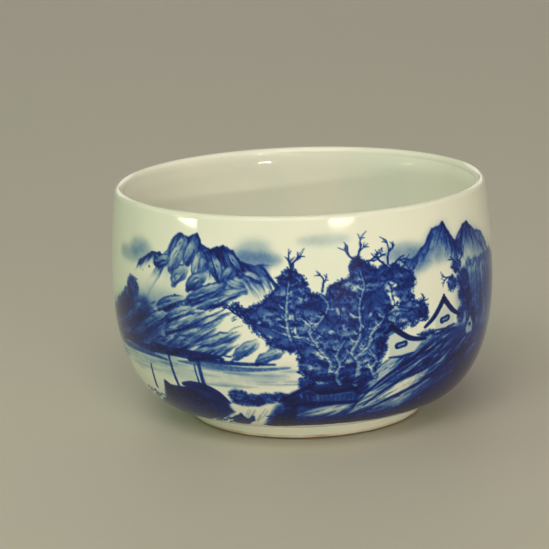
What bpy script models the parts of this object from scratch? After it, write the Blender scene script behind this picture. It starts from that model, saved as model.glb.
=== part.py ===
"""A handleless porcelain teacup: a turned bowl on a foot ring, with its glaze coats as separate solids.

Every piece is a solid of revolution about Z. The origin is at the centre of the foot's resting plane.
"""

import math

import bmesh
import bpy

MM = 0.001

# Driving dimensions, in millimetres.
CUP_HEIGHT = 49.0
BELLY_RADIUS = 40.0
BELLY_HEIGHT = 29.0
RIM_RADIUS = 38.7
LIP_THICKNESS = 1.9
FOOT_RADIUS = 24.7
FOOT_LAND = 2.9
FOOT_FLARE = 0.4
FOOT_FILLET = 0.5
UNDERSIDE_HEIGHT = 3.2
RECESS_DEPTH = 3.0
FLOOR_HEIGHT = 6.6
INNER_BELLY_RADIUS = 37.5
INNER_FLOOR_RADIUS = 20.0

# How the walls curve: the exponent of each quarter superellipse, and of the wall closing to the rim.
OUTER_SQUARENESS = 2.27
INNER_SQUARENESS = 2.2
CLOSING_POWER = 1.6

# The coats, and the gap that keeps neighbouring solids apart.
GLAZE = 0.3
GAP = 0.3
BARE_FOOT = 0.7  # the bottom of the foot ring is wiped clean of glaze
LAND_BEVEL = 0.35
LIP_SEAM = math.radians(10)  # each coat stops this far short of the lip's crest

SEGMENTS = 56
CURVE_STEPS = 6
WALL_STEPS = 3
LIP_STEPS = 3

LIP_RADIUS = LIP_THICKNESS / 2
CREST_RADIUS = RIM_RADIUS - LIP_RADIUS
LIP_CENTRE_HEIGHT = CUP_HEIGHT - LIP_RADIUS
LAYER = GLAZE + GAP


def superellipse(foot, belly, squareness, steps):
    """Points (r, z) of a quarter superellipse, from its flat bottom end to its upright top end."""
    points = []
    for step in range(steps + 1):
        angle = math.pi / 2 * step / steps
        across = math.sin(angle) ** (2 / squareness)
        down = math.cos(angle) ** (2 / squareness) if step < steps else 0.0
        points.append(
            (
                foot[0] + (belly[0] - foot[0]) * across,
                belly[1] - (belly[1] - foot[1]) * down,
            )
        )
    return points


def closing_wall(belly_radius, rim_radius, steps):
    """Points from just above the belly to where the lip's rounding starts."""
    points = []
    for step in range(1, steps + 1):
        share = step / steps
        radius = belly_radius - (belly_radius - rim_radius) * share**CLOSING_POWER
        points.append((radius, BELLY_HEIGHT + (LIP_CENTRE_HEIGHT - BELLY_HEIGHT) * share))
    return points


def lip_arc(start, end, steps):
    """Points round the lip. Angle 0 faces outwards and pi faces the hollow."""
    points = []
    for step in range(steps + 1):
        angle = start + (end - start) * step / steps
        points.append(
            (
                CREST_RADIUS + LIP_RADIUS * math.cos(angle),
                LIP_CENTRE_HEIGHT + LIP_RADIUS * math.sin(angle),
            )
        )
    return points


def foot_face():
    """The outside of the foot, from the edge of the glaze to the underside of the bowl."""
    top = FOOT_RADIUS + FOOT_FLARE
    return [
        (FOOT_RADIUS, BARE_FOOT),
        (top, UNDERSIDE_HEIGHT - FOOT_FILLET),
        (top + 0.3 * FOOT_FILLET, UNDERSIDE_HEIGHT - 0.3 * FOOT_FILLET),
    ]


def outside():
    """The whole outer surface, from the glaze's edge on the foot up to the lip's outward tangent."""
    foot = (FOOT_RADIUS + FOOT_FLARE + FOOT_FILLET, UNDERSIDE_HEIGHT)
    belly = (BELLY_RADIUS, BELLY_HEIGHT)
    curve = superellipse(foot, belly, OUTER_SQUARENESS, CURVE_STEPS)
    return foot_face() + curve + closing_wall(BELLY_RADIUS, RIM_RADIUS, WALL_STEPS)


def inside():
    """The whole inner surface, from the lip's inward tangent down to the edge of the flat floor."""
    floor = (INNER_FLOOR_RADIUS, FLOOR_HEIGHT)
    belly = (INNER_BELLY_RADIUS, BELLY_HEIGHT)
    curve = superellipse(floor, belly, INNER_SQUARENESS, CURVE_STEPS)
    wall = closing_wall(INNER_BELLY_RADIUS, CREST_RADIUS - LIP_RADIUS, WALL_STEPS)
    return list(reversed(curve + wall))


def shifted(line, distance):
    """The line moved sideways into the wall, which lies to the left of the line's direction."""
    moved = []
    for index, (radius, height) in enumerate(line):
        before = line[max(index - 1, 0)]
        after = line[min(index + 1, len(line) - 1)]
        along = (after[0] - before[0], after[1] - before[1])
        length = math.hypot(*along)
        moved.append(
            (
                radius - distance * along[1] / length,
                height + distance * along[0] / length,
            )
        )
    return moved


def turned(name, outline, material):
    """A solid of revolution about Z from a closed outline of (r, z) points in millimetres."""
    shape = bmesh.new()
    corners = [shape.verts.new((r * MM, 0.0, z * MM)) for r, z in outline]
    edges = []
    for index, corner in enumerate(corners):
        following = corners[(index + 1) % len(corners)]
        if corner.co.x > 0 or following.co.x > 0:
            edges.append(shape.edges.new((corner, following)))
    bmesh.ops.spin(
        shape,
        geom=corners + edges,
        cent=(0, 0, 0),
        axis=(0, 0, 1),
        angle=2 * math.pi,
        steps=SEGMENTS,
        use_merge=True,
        use_duplicate=False,
    )
    bmesh.ops.remove_doubles(shape, verts=shape.verts, dist=1e-6)
    bmesh.ops.dissolve_degenerate(shape, edges=shape.edges, dist=1e-7)
    bmesh.ops.recalc_face_normals(shape, faces=shape.faces)
    mesh = bpy.data.meshes.new(name)
    shape.to_mesh(mesh)
    shape.free()
    mesh.shade_smooth()
    mesh.set_sharp_from_angle(angle=math.radians(40))
    mesh.materials.append(material)
    piece = bpy.data.objects.new(name, mesh)
    bpy.context.scene.collection.objects.link(piece)
    return piece


def ceramic(name, colour, roughness):
    """A non-metallic Principled material of one colour."""
    material = bpy.data.materials.new(name)
    material.use_nodes = True
    shader = material.node_tree.nodes["Principled BSDF"]
    shader.inputs["Base Color"].default_value = (*colour, 1)
    shader.inputs["Roughness"].default_value = roughness
    shader.inputs["Metallic"].default_value = 0.0
    return material


def porcelain_bowl(material):
    """The bowl's fired clay: wall, lip and floor, inside both coats and above the foot ring."""
    outer = shifted(outside(), LAYER)[len(foot_face()):]
    inner = shifted(inside(), LAYER)
    lip = [
        (
            CREST_RADIUS + (LIP_RADIUS - LAYER) * math.cos(angle),
            LIP_CENTRE_HEIGHT + (LIP_RADIUS - LAYER) * math.sin(angle),
        )
        for angle in (math.pi * step / 4 for step in range(1, 4))
    ]
    underside = RECESS_DEPTH + LAYER
    middle = [(0.0, FLOOR_HEIGHT - LAYER), (0.0, underside), (FOOT_RADIUS, underside)]
    return turned("porcelain_bowl", outer + lip + inner + middle, material)


def foot_ring(material):
    """The ring under the bowl, with the bare land that the cup stands on."""
    outer = FOOT_RADIUS - LAYER
    inner = FOOT_RADIUS - FOOT_LAND + LAYER
    top = RECESS_DEPTH + GLAZE
    outline = [
        (inner + LAND_BEVEL, 0.0),
        (outer - LAND_BEVEL, 0.0),
        (outer, LAND_BEVEL),
        (outer + FOOT_FLARE, UNDERSIDE_HEIGHT - FOOT_FILLET),
        (outer + FOOT_FLARE, top),
        (inner - FOOT_FLARE, top),
        (inner, LAND_BEVEL),
    ]
    return turned("foot_ring", outline, material)


def outer_glaze(material):
    """The dipped coat, from the crest of the lip down the wall and over the outside of the foot."""
    skin = outside() + lip_arc(0, math.pi / 2 - LIP_SEAM, LIP_STEPS)[1:]
    return turned("outer_glaze", skin + list(reversed(shifted(skin, GLAZE))), material)


def inner_glaze(material):
    """The swirled coat, from the crest of the lip down the wall and across the floor."""
    skin = lip_arc(math.pi / 2 + LIP_SEAM, math.pi, LIP_STEPS)[:-1] + inside()
    back = list(reversed(shifted(skin, GLAZE)))
    middle = [(0.0, FLOOR_HEIGHT), (0.0, FLOOR_HEIGHT - GLAZE)]
    return turned("inner_glaze", skin + middle + back, material)


def base_glaze(material):
    """The coat in the recess under the bowl, which the bare foot ring parts from the outer coat."""
    wall = FOOT_RADIUS - FOOT_LAND
    corner = wall - FOOT_FLARE
    skin = [
        (wall, BARE_FOOT),
        (corner, RECESS_DEPTH - FOOT_FILLET),
        (corner - FOOT_FILLET, RECESS_DEPTH),
        (0.0, RECESS_DEPTH),
    ]
    back = [
        (0.0, RECESS_DEPTH + GLAZE),
        (corner - FOOT_FILLET + GLAZE / 2, RECESS_DEPTH + GLAZE),
        (corner + GLAZE, RECESS_DEPTH - FOOT_FILLET + GLAZE / 2),
        (wall + GLAZE, BARE_FOOT),
    ]
    return turned("base_glaze", skin + back, material)


def clear_scene():
    for item in list(bpy.data.objects):
        bpy.data.objects.remove(item)


def main():
    clear_scene()
    biscuit = ceramic("porcelain_biscuit", (0.80, 0.76, 0.68), 0.75)
    bluish_white = ceramic("outer_glaze", (0.70, 0.78, 0.70), 0.08)
    white = ceramic("inner_glaze", (0.80, 0.82, 0.76), 0.08)
    under = ceramic("base_glaze", (0.78, 0.82, 0.76), 0.12)
    porcelain_bowl(biscuit)
    foot_ring(biscuit)
    outer_glaze(bluish_white)
    inner_glaze(white)
    base_glaze(under)


main()
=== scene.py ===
import math
import random

import bmesh
import bpy
import numpy as np
from mathutils import Matrix, Vector


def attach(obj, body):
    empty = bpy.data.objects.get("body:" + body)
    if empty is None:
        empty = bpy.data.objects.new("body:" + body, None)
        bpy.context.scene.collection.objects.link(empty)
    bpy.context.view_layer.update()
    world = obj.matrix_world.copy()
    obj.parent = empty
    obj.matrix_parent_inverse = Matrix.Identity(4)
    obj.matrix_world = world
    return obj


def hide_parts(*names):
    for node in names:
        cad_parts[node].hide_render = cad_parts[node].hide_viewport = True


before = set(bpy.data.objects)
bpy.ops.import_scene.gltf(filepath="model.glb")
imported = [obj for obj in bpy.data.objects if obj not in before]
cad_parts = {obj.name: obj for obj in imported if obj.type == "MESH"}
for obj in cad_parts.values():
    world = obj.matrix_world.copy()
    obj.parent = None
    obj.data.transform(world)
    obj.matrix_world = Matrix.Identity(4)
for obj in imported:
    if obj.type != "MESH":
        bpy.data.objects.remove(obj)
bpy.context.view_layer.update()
print("frame loaded:", len(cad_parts), "nodes")

mm = 0.001

# Sizes of the cup in millimetres, the same as the solids it stands for.
cup = {
    "height": 49.0,
    "bellyRadius": 40.0,
    "bellyHeight": 29.0,
    "rimRadius": 38.7,
    "lip": 1.9,
    "footRadius": 24.7,
    "footLand": 2.9,
    "footFlare": 0.4,
    "footFillet": 0.5,
    "underside": 3.2,
    "recess": 3.0,
    "floor": 6.6,
    "innerBelly": 37.5,
    "innerFloor": 20.0,
    "outerSquareness": 2.27,
    "innerSquareness": 2.2,
    "closing": 1.6,
    "bareFoot": 0.7,
    "coat": 0.3,
    "recessFillet": 0.9,
    "wornEdge": 0.45,        # the bare ring's edges, rubbed round by tables
    "ringTop": 1.4,
    "ringInset": 0.05,       # the ring keeps this far inside the glaze, which ends in a fine step
}
cup["lipRadius"] = cup["lip"] / 2
cup["crest"] = cup["rimRadius"] - cup["lipRadius"]
cup["lipHeight"] = cup["height"] - cup["lipRadius"]


def quarterCurve(low, belly, squareness, steps):
    # a quarter superellipse from its flat bottom end up to its upright end
    points = []
    for step in range(steps + 1):
        angle = math.pi / 2 * step / steps
        across = math.sin(angle) ** (2 / squareness)
        down = math.cos(angle) ** (2 / squareness) if step < steps else 0.0
        points.append((low[0] + (belly[0] - low[0]) * across, belly[1] - (belly[1] - low[1]) * down))
    return points


def closingWall(bellyRadius, rimRadius, steps):
    points = []
    for step in range(1, steps + 1):
        share = step / steps
        radius = bellyRadius - (bellyRadius - rimRadius) * share ** cup["closing"]
        points.append((radius, cup["bellyHeight"] + (cup["lipHeight"] - cup["bellyHeight"]) * share))
    return points


def arc(middle, radius, start, end, steps):
    # angle 0 faces outwards, 90 up and 180 towards the axis
    points = []
    for step in range(steps + 1):
        angle = math.radians(start + (end - start) * step / steps)
        points.append((middle[0] + radius * math.cos(angle), middle[1] + radius * math.sin(angle)))
    return points


def lipArc(start, end):
    return arc((cup["crest"], cup["lipHeight"]), cup["lipRadius"], start, end, 10)


def outsideLine():
    # from the crest of the lip down the wall and the foot to where the glaze ends
    top = cup["footRadius"] + cup["footFlare"]
    foot = [(cup["footRadius"], cup["bareFoot"]), (top, cup["underside"] - cup["footFillet"]),
            (top + 0.3 * cup["footFillet"], cup["underside"] - 0.3 * cup["footFillet"])]
    curve = quarterCurve((top + cup["footFillet"], cup["underside"]), (cup["bellyRadius"], cup["bellyHeight"]),
                         cup["outerSquareness"], 60)
    wall = closingWall(cup["bellyRadius"], cup["rimRadius"], 30)
    return list(reversed(foot + curve + wall + lipArc(6, 90)))


def insideLine():
    # from the crest of the lip down the hollow to the middle of the floor
    curve = quarterCurve((cup["innerFloor"], cup["floor"]), (cup["innerBelly"], cup["bellyHeight"]),
                         cup["innerSquareness"], 50)
    wall = closingWall(cup["innerBelly"], cup["crest"] - cup["lipRadius"], 30)
    return lipArc(90, 180)[:-1] + list(reversed(curve + wall)) + [(0.0, cup["floor"])]


def baseLine():
    # from the foot's inner edge up into the recess and across to its middle
    wall = cup["footRadius"] - cup["footLand"]
    fillet = cup["recessFillet"]
    corner = arc((wall - cup["footFlare"] - fillet, cup["recess"] - fillet), fillet, 0, 90, 6)
    return [(wall, cup["bareFoot"])] + corner + [(0.0, cup["recess"])]


def footLine():
    # the bare ring's whole section, closed on itself; its land and edges are worn round
    outer = cup["footRadius"] - cup["ringInset"]
    inner = cup["footRadius"] - cup["footLand"] + cup["ringInset"]
    edge, top = cup["wornEdge"], cup["ringTop"]
    return ([(outer, top)] + arc((outer - edge, edge), edge, 0, -90, 6)
            + arc((inner + edge, edge), edge, -90, -180, 6) + [(inner, top), (outer, top)])


def backedLine(line, thickness):
    # the line and its own back, a coat's thickness inside the clay; the clay is left of the line's direction
    back = []
    for index, (radius, height) in enumerate(line):
        before, after = line[max(index - 1, 0)], line[min(index + 1, len(line) - 1)]
        alongR, alongZ = after[0] - before[0], after[1] - before[1]
        length = math.hypot(alongR, alongZ)
        back.append((max(radius + thickness * alongZ / length, 0.0), height - thickness * alongR / length))
    if line[-1][0] == 0:
        back[-1] = (0.0, back[-1][1])
    return line + list(reversed(back)) + [line[0]]


def lineLength(line):
    return sum(math.hypot(b[0] - a[0], b[1] - a[1]) for a, b in zip(line, line[1:]))


def addNode(tree, kind, settings=(), inputs=()):
    # adds a node, sets it up, and sets or links its inputs
    node = tree.nodes.new(kind)
    for name, value in dict(settings).items():
        setattr(node, name, value)
    for key, value in dict(inputs).items():
        if isinstance(value, bpy.types.NodeSocket):
            tree.links.new(value, node.inputs[key])
        else:
            node.inputs[key].default_value = value
    return node


def wheelTree():
    # a potter's wheel: sweeps the profile about Z, with most of the rows on the side that shows
    tree = bpy.data.node_groups.new("potterWheel", "GeometryNodeTree")
    sockets = [("Profile", "Geometry"), ("Columns", "Int"), ("Rows", "Int"), ("Start", "Float"), ("Sweep", "Float"),
               ("Skin rows", "Float"), ("Skin length", "Float"), ("Surface", "Material")]
    for name, kind in sockets:
        tree.interface.new_socket(name, in_out="INPUT", socket_type="NodeSocket" + kind)
    tree.interface.new_socket("Turned", in_out="OUTPUT", socket_type="NodeSocketGeometry")
    given = tree.nodes.new("NodeGroupInput").outputs
    grid = addNode(tree, "GeometryNodeMeshGrid", {}, {"Size X": 1.0, "Size Y": 1.0, "Vertices X": given["Columns"],
                                                      "Vertices Y": given["Rows"]})
    place = addNode(tree, "GeometryNodeInputPosition")
    parts = addNode(tree, "ShaderNodeSeparateXYZ", {}, {0: place.outputs[0]})

    def sums(operation, a, b):
        return addNode(tree, "ShaderNodeMath", {"operation": operation}, {0: a, 1: b}).outputs[0]

    across = sums("ADD", parts.outputs["X"], 0.5)
    along = sums("ADD", parts.outputs["Y"], 0.5)
    skin = sums("MULTIPLY", along, sums("DIVIDE", given["Skin length"], given["Skin rows"]))
    restRows = sums("SUBTRACT", 1.0, given["Skin rows"])
    restLength = sums("SUBTRACT", 1.0, given["Skin length"])
    back = sums("SUBTRACT", 1.0, sums("MULTIPLY", sums("SUBTRACT", 1.0, along), sums("DIVIDE", restLength, restRows)))
    factor = sums("MAXIMUM", skin, back)
    angle = sums("ADD", given["Start"], sums("MULTIPLY", across, given["Sweep"]))
    curve = addNode(tree, "GeometryNodeMeshToCurve", {}, {0: given["Profile"]})
    sample = addNode(tree, "GeometryNodeSampleCurve", {"mode": "FACTOR"},
                     {"Curves": curve.outputs[0], "Factor": factor})
    turn = addNode(tree, "ShaderNodeVectorRotate", {"rotation_type": "Z_AXIS"},
                   {"Vector": sample.outputs["Position"], "Angle": angle})
    moved = addNode(tree, "GeometryNodeSetPosition", {}, {"Geometry": grid.outputs["Mesh"],
                                                          "Position": turn.outputs["Vector"]})
    merged = addNode(tree, "GeometryNodeMergeByDistance", {}, {"Geometry": moved.outputs[0], "Distance": 0.000002})
    real = addNode(tree, "GeometryNodeRealizeInstances", {}, {0: merged.outputs[0]})
    glazed = addNode(tree, "GeometryNodeSetMaterial", {}, {"Geometry": real.outputs[0], "Material": given["Surface"]})
    out = tree.nodes.new("NodeGroupOutput")
    tree.links.new(glazed.outputs[0], out.inputs[0])
    return tree


def turnPiece(name, line, split, share, surface, replaced, start=0, sweep=360):
    # runs one profile on the wheel, closes it and hands it to the frame; share is the skin's part of its length
    profile = bpy.data.meshes.new(name + "Profile")
    points = [(r * mm, 0.0, z * mm) for r, z in line]
    profile.from_pydata(points, [(i, i + 1) for i in range(len(points) - 1)], [])
    blank = bpy.data.objects.new(name + "Blank", profile)
    bpy.context.scene.collection.objects.link(blank)
    wheel = blank.modifiers.new("wheel", "NODES")
    wheel.node_group = potterWheel
    values = {"Columns": split["columns"], "Rows": split["rows"], "Start": math.radians(start),
              "Sweep": math.radians(sweep), "Skin rows": split["skinRows"], "Skin length": share,
              "Surface": surface}
    for item in potterWheel.interface.items_tree:
        if item.in_out == "INPUT" and item.name in values:
            wheel[item.identifier] = values[item.name]
    bpy.context.view_layer.update()
    evaluated = blank.evaluated_get(bpy.context.evaluated_depsgraph_get())
    mesh = bpy.data.meshes.new_from_object(evaluated)
    mesh.name = name
    blank.modifiers.remove(wheel)
    bpy.data.objects.remove(blank)
    shape = bmesh.new()
    shape.from_mesh(mesh)
    bmesh.ops.remove_doubles(shape, verts=shape.verts, dist=0.000001)
    # where the coat's two faces meet in one point on the axis, they are parted and laid flat
    for pole in [v for v in shape.verts if math.hypot(v.co.x, v.co.y) < 0.000001]:
        for half in bmesh.utils.vert_separate(pole, ()):
            around = [e.other_vert(half).co.z for e in half.link_edges]
            half.co.z = sum(around) / len(around)
    openEdges = [e for e in shape.edges if e.is_boundary]
    if openEdges:
        bmesh.ops.holes_fill(shape, edges=openEdges, sides=0)
    bmesh.ops.recalc_face_normals(shape, faces=shape.faces)
    shape.to_mesh(mesh)
    closed = all(e.is_manifold for e in shape.edges)
    shape.free()
    mesh.shade_smooth()
    mesh.set_sharp_from_angle(angle=math.radians(50))
    piece = bpy.data.objects.new(name, mesh)
    bpy.context.scene.collection.objects.link(piece)
    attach(piece, "root")
    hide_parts(replaced)
    print(name, "turned:", len(mesh.polygons), "faces,", "closed" if closed else "OPEN")
    return piece


# The painting is made flat and then wrapped on the wall. A place in it is (a, d) in millimetres: a runs round
# the belly to the right from the front, d runs down the wall from the lip.
sheet = {"dot": 0.1, "around": 2 * math.pi * 40.0, "down": 57.0, "seed": 41}
sheet["columns"] = round(sheet["around"] / sheet["dot"])
sheet["rows"] = round(sheet["down"] / sheet["dot"])
brush = random.Random(sheet["seed"])
ink = np.zeros((sheet["rows"], sheet["columns"]), dtype=np.float32)


def cloudField(cell, seed, octaves=3):
    # smooth random values from 0 to 1 that meet round the cup; cell is the largest patch in millimetres
    total, weight, share = np.zeros_like(ink), 0.0, 1.0
    for octave in range(octaves):
        numbers = np.random.RandomState(seed + octave)
        columns = max(4, round(sheet["around"] / cell))
        rows = max(3, round(sheet["down"] / cell) + 2)
        grid = numbers.rand(rows, columns).astype(np.float32)
        x = np.linspace(0, columns, sheet["columns"], endpoint=False)
        y = np.linspace(0, rows - 1.001, sheet["rows"])
        x0, y0 = x.astype(int), y.astype(int)
        fx, fy = x - x0, y - y0
        fx, fy = fx * fx * (3 - 2 * fx), (fy * fy * (3 - 2 * fy))[:, None]
        x1 = (x0 + 1) % columns
        top = grid[y0][:, x0] * (1 - fx) + grid[y0][:, x1] * fx
        low = grid[y0 + 1][:, x0] * (1 - fx) + grid[y0 + 1][:, x1] * fx
        total += share * (top * (1 - fy) + low * fy)
        weight += share
        cell, share = cell / 2, share * 0.55
    return total / weight


pools = cloudField(7.0, 11)
blots = cloudField(1.3, 23)
grain = cloudField(0.45, 37, 2)


def window(points, reach):
    # the part of the sheet within reach of some points: its rows and columns, and the places of its dots
    a, d = [p[0] for p in points], [p[1] for p in points]
    left, right = math.floor((min(a) - reach) / sheet["dot"]), math.ceil((max(a) + reach) / sheet["dot"])
    top = min(max(0, math.floor((min(d) - reach) / sheet["dot"])), sheet["rows"] - 1)
    foot = max(top + 1, min(sheet["rows"], math.ceil((max(d) + reach) / sheet["dot"]) + 1))
    columns, rows = np.arange(left, right + 1)[None, :], np.arange(top, foot)[:, None]
    return rows, columns % sheet["columns"], columns * sheet["dot"], rows * sheet["dot"]


def layDown(rows, columns, amount):
    old = ink[rows, columns]
    ink[rows, columns] = old + amount * (1 - 0.45 * np.clip(old, 0, 1.6))


def liftOff(rows, columns, amount):
    ink[rows, columns] *= 1 - np.clip(amount, 0, 1)


def stroke(points, widths, density, soft=0.1, lift=False, dry=0.0):
    # one touch of the brush along a line; widths and density run from its start to its end
    rows, columns, gridA, gridD = window(points, max(widths) / 2 + soft + 0.1)
    count = len(points) - 1
    best = np.full((rows.shape[0], columns.shape[1]), -9.0, dtype=np.float32)
    amount = np.zeros_like(best)
    for i, ((a0, d0), (a1, d1)) in enumerate(zip(points, points[1:])):
        da, dd = a1 - a0, d1 - d0
        size = da * da + dd * dd or 1e-9
        t = np.clip(((gridA - a0) * da + (gridD - d0) * dd) / size, 0, 1)
        far = np.hypot(gridA - a0 - t * da, gridD - d0 - t * dd)
        share = (i + t) / count
        half = np.interp(share, np.linspace(0, 1, len(widths)), widths) / 2
        inside = (half - far) / soft
        closer = inside > best
        best = np.where(closer, inside, best)
        if isinstance(density, (int, float)):
            amount = np.where(closer, density, amount)
        else:
            amount = np.where(closer, np.interp(share, np.linspace(0, 1, len(density)), density), amount)
    cover = np.clip(best + 0.5, 0, 1) * amount
    if dry:
        cover *= np.clip(1 - dry + dry * 2.4 * (grain[rows, columns] - 0.2), 0, 1)
    (liftOff if lift else layDown)(rows, columns, cover)


def dab(a, d, length, width, angle, density):
    # one press of the brush's tip
    rows, columns, gridA, gridD = window([(a, d)], length / 2 + 0.15)
    c, s = math.cos(angle), math.sin(angle)
    u = ((gridA - a) * c + (gridD - d) * s) / (length / 2)
    v = ((gridD - d) * c - (gridA - a) * s) / (width / 2)
    layDown(rows, columns, np.clip((1.15 - np.sqrt(u * u + v * v)) * 2.5, 0, 1) * density)


def smoothed(points, steps=6):
    # a curve through the points
    out = []
    last = len(points) - 1
    for i in range(last):
        p = [points[max(i - 1, 0)], points[i], points[i + 1], points[min(i + 2, last)]]
        for step in range(steps):
            t = step / steps
            out.append(tuple(0.5 * (2 * p[1][k] + (p[2][k] - p[0][k]) * t
                                    + (2 * p[0][k] - 5 * p[1][k] + 4 * p[2][k] - p[3][k]) * t * t
                                    + (3 * p[1][k] - p[0][k] - 3 * p[2][k] + p[3][k]) * t ** 3) for k in (0, 1)))
    return out + [points[-1]]


def jagged(points, rough, times=4):
    # breaks a line up, each time half as rough
    for _ in range(times):
        out = [points[0]]
        for p, q in zip(points, points[1:]):
            span = math.hypot(q[0] - p[0], q[1] - p[1])
            out += [((p[0] + q[0]) / 2 + brush.uniform(-1, 1) * rough * span * 0.5,
                     (p[1] + q[1]) / 2 + brush.uniform(-1, 1) * rough * span), q]
        points = out
    return points


def blur(mask, radius):
    # three box blurs, radius in millimetres
    size = max(1, round(radius / sheet["dot"]))
    for _ in range(3):
        for axis in (0, 1):
            ends = [(0, 0), (0, 0)]
            ends[axis] = (size + 1, size)
            total = np.cumsum(np.pad(mask, ends, mode="edge"), axis=axis)
            far = np.take(total, range(2 * size + 1, total.shape[axis]), axis=axis)
            near = np.take(total, range(0, total.shape[axis] - 2 * size - 1), axis=axis)
            mask = (far - near) / (2 * size + 1)
    return mask


def area(points, density, feather=0.3, patchy=0.4, lift=False):
    # a filled shape with a soft or hard edge, uneven as a wash is
    rows, columns, gridA, gridD = window(points, feather * 3 + 0.3)
    inside = np.zeros((rows.shape[0], columns.shape[1]), dtype=bool)
    for (a0, d0), (a1, d1) in zip(points, points[1:] + points[:1]):
        if d0 == d1:
            continue
        crosses = (gridD >= min(d0, d1)) & (gridD < max(d0, d1))
        inside ^= crosses & (gridA < a0 + (gridD - d0) * (a1 - a0) / (d1 - d0))
    mask = inside.astype(np.float32)
    if feather:
        mask = blur(mask, feather)
    if lift:
        liftOff(rows, columns, mask * density)
    else:
        uneven = 1 - patchy + patchy * 2 * (0.55 * pools[rows, columns] + 0.45 * blots[rows, columns])
        layDown(rows, columns, mask * density * uneven)


def tornArea(points, rough, times, density, feather=0.3, patchy=0.4, lift=False):
    # the same with a torn outline
    area(jagged(points + points[:1], rough, times)[:-1], density, feather, patchy, lift)


def oval(a, d, wide, tall, count, rough=None):
    # points round an oval, each moved in or out at random between the two shares of rough
    points = []
    for k in range(count):
        turn = k / count * 2 * math.pi
        across, down = (brush.uniform(*rough), brush.uniform(*rough)) if rough else (1, 1)
        points.append((a + wide / 2 * math.cos(turn) * across, d + tall / 2 * math.sin(turn) * down))
    return points


def cloudWash(a, d, wide, tall, density):
    # a soft patch of mist or far wash
    area(oval(a, d, wide, tall, 20), density, min(wide, tall) * 0.2, 0.45)


def twig(a, d, angle, length, width, depth, density=1.0, spread=0.75):
    # a bare branch that forks into clawed tips; angle is measured from straight up
    points = [(a, d)]
    bend = brush.uniform(-0.5, 0.5)
    for step in range(4):
        angle += bend * 0.35 + brush.uniform(-0.22, 0.22)
        a, d = a + math.sin(angle) * length / 4, d - math.cos(angle) * length / 4
        points.append((a, d))
    stroke(points, (width, width * 0.6), density, 0.09)
    if depth:
        for _ in range(2 if depth > 1 else 3):
            at = brush.choice(points[2:])
            side = brush.choice((-1, 1))
            twig(at[0], at[1], angle + side * brush.uniform(0.35, spread), length * brush.uniform(0.5, 0.75),
                 width * 0.62, depth - 1, density, spread)


def foliage(a, d, wide, tall, count, size=0.55, density=0.8, under=0.5):
    # a clump of leaves: a wash, then dabs that thin out at its edge
    if under:
        area(oval(a, d, wide * 0.92, tall * 0.92, 14, (0.8, 1.1)), under, 0.22, 0.55)
    for _ in range(count):
        turn, far = brush.uniform(0, 2 * math.pi), math.sqrt(brush.random()) * brush.uniform(0.75, 1.08)
        dab(a + math.cos(turn) * far * wide / 2, d + math.sin(turn) * far * tall / 2,
            size * brush.uniform(0.7, 1.5), size * brush.uniform(0.4, 0.75), brush.uniform(-1.2, 1.2),
            density * brush.uniform(0.45, 1.1))


def clumps(places, leaves, size, density, under):
    # clumps of foliage, each (a, d, wide, tall), with so many leaves to the square millimetre
    for a, d, wide, tall in places:
        foliage(a, d, wide, tall, int(wide * tall * leaves), size, density, under)


def twigs(places, width, density):
    # bare branches, each (a, d, angle, length)
    for a, d, angle, length in places:
        twig(a, d, angle, length, width, 2, density)


def trunk(points, widths, dark=0.95, bark=0.82):
    # a gnarled trunk left pale against the leaves, one side shaded, with short pale branches
    line = smoothed([(a + brush.gauss(0, 0.22), d + brush.gauss(0, 0.18)) for a, d in points], 6)
    line = [(a + brush.gauss(0, 0.07), d) for a, d in line]
    count = len(line)
    girth = [np.interp(i / (count - 1), np.linspace(0, 1, len(widths)), widths) * brush.uniform(0.9, 1.15)
             for i in range(count)]
    stroke(line, [w + 0.3 for w in girth], dark, 0.2)
    stroke(line, girth, bark, 0.12, lift=True)
    shaded = [(a + w * 0.3, d + 0.06) for (a, d), w in zip(line, girth)]
    stroke(shaded, [w * 0.35 for w in girth], 0.5, 0.14, dry=0.4)
    for i in range(2, count - 2, 3):
        a, d = line[i]
        reach, side = brush.uniform(1.0, 3.2), brush.choice((-1, 1))
        tip = (a + side * reach * brush.uniform(0.6, 1.0), d - reach * brush.uniform(0.0, 0.9))
        bend = ((a + tip[0]) / 2 + brush.gauss(0, 0.25), (d + tip[1]) / 2 + brush.uniform(-0.2, 0.5))
        fork = (bend[0] + brush.uniform(-0.9, 0.9), bend[1] - brush.uniform(0.6, 1.4))
        stroke(smoothed([(a, d), bend, tip], 5), (0.4, 0.32, 0.14), brush.uniform(0.55, 0.8), 0.12, lift=True)
        stroke(smoothed([bend, fork], 4), (0.28, 0.1), 0.5, 0.12, lift=True)
        dab(a, d + 0.1, 0.34, 0.14, brush.uniform(-0.5, 0.5), 0.4)


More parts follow.
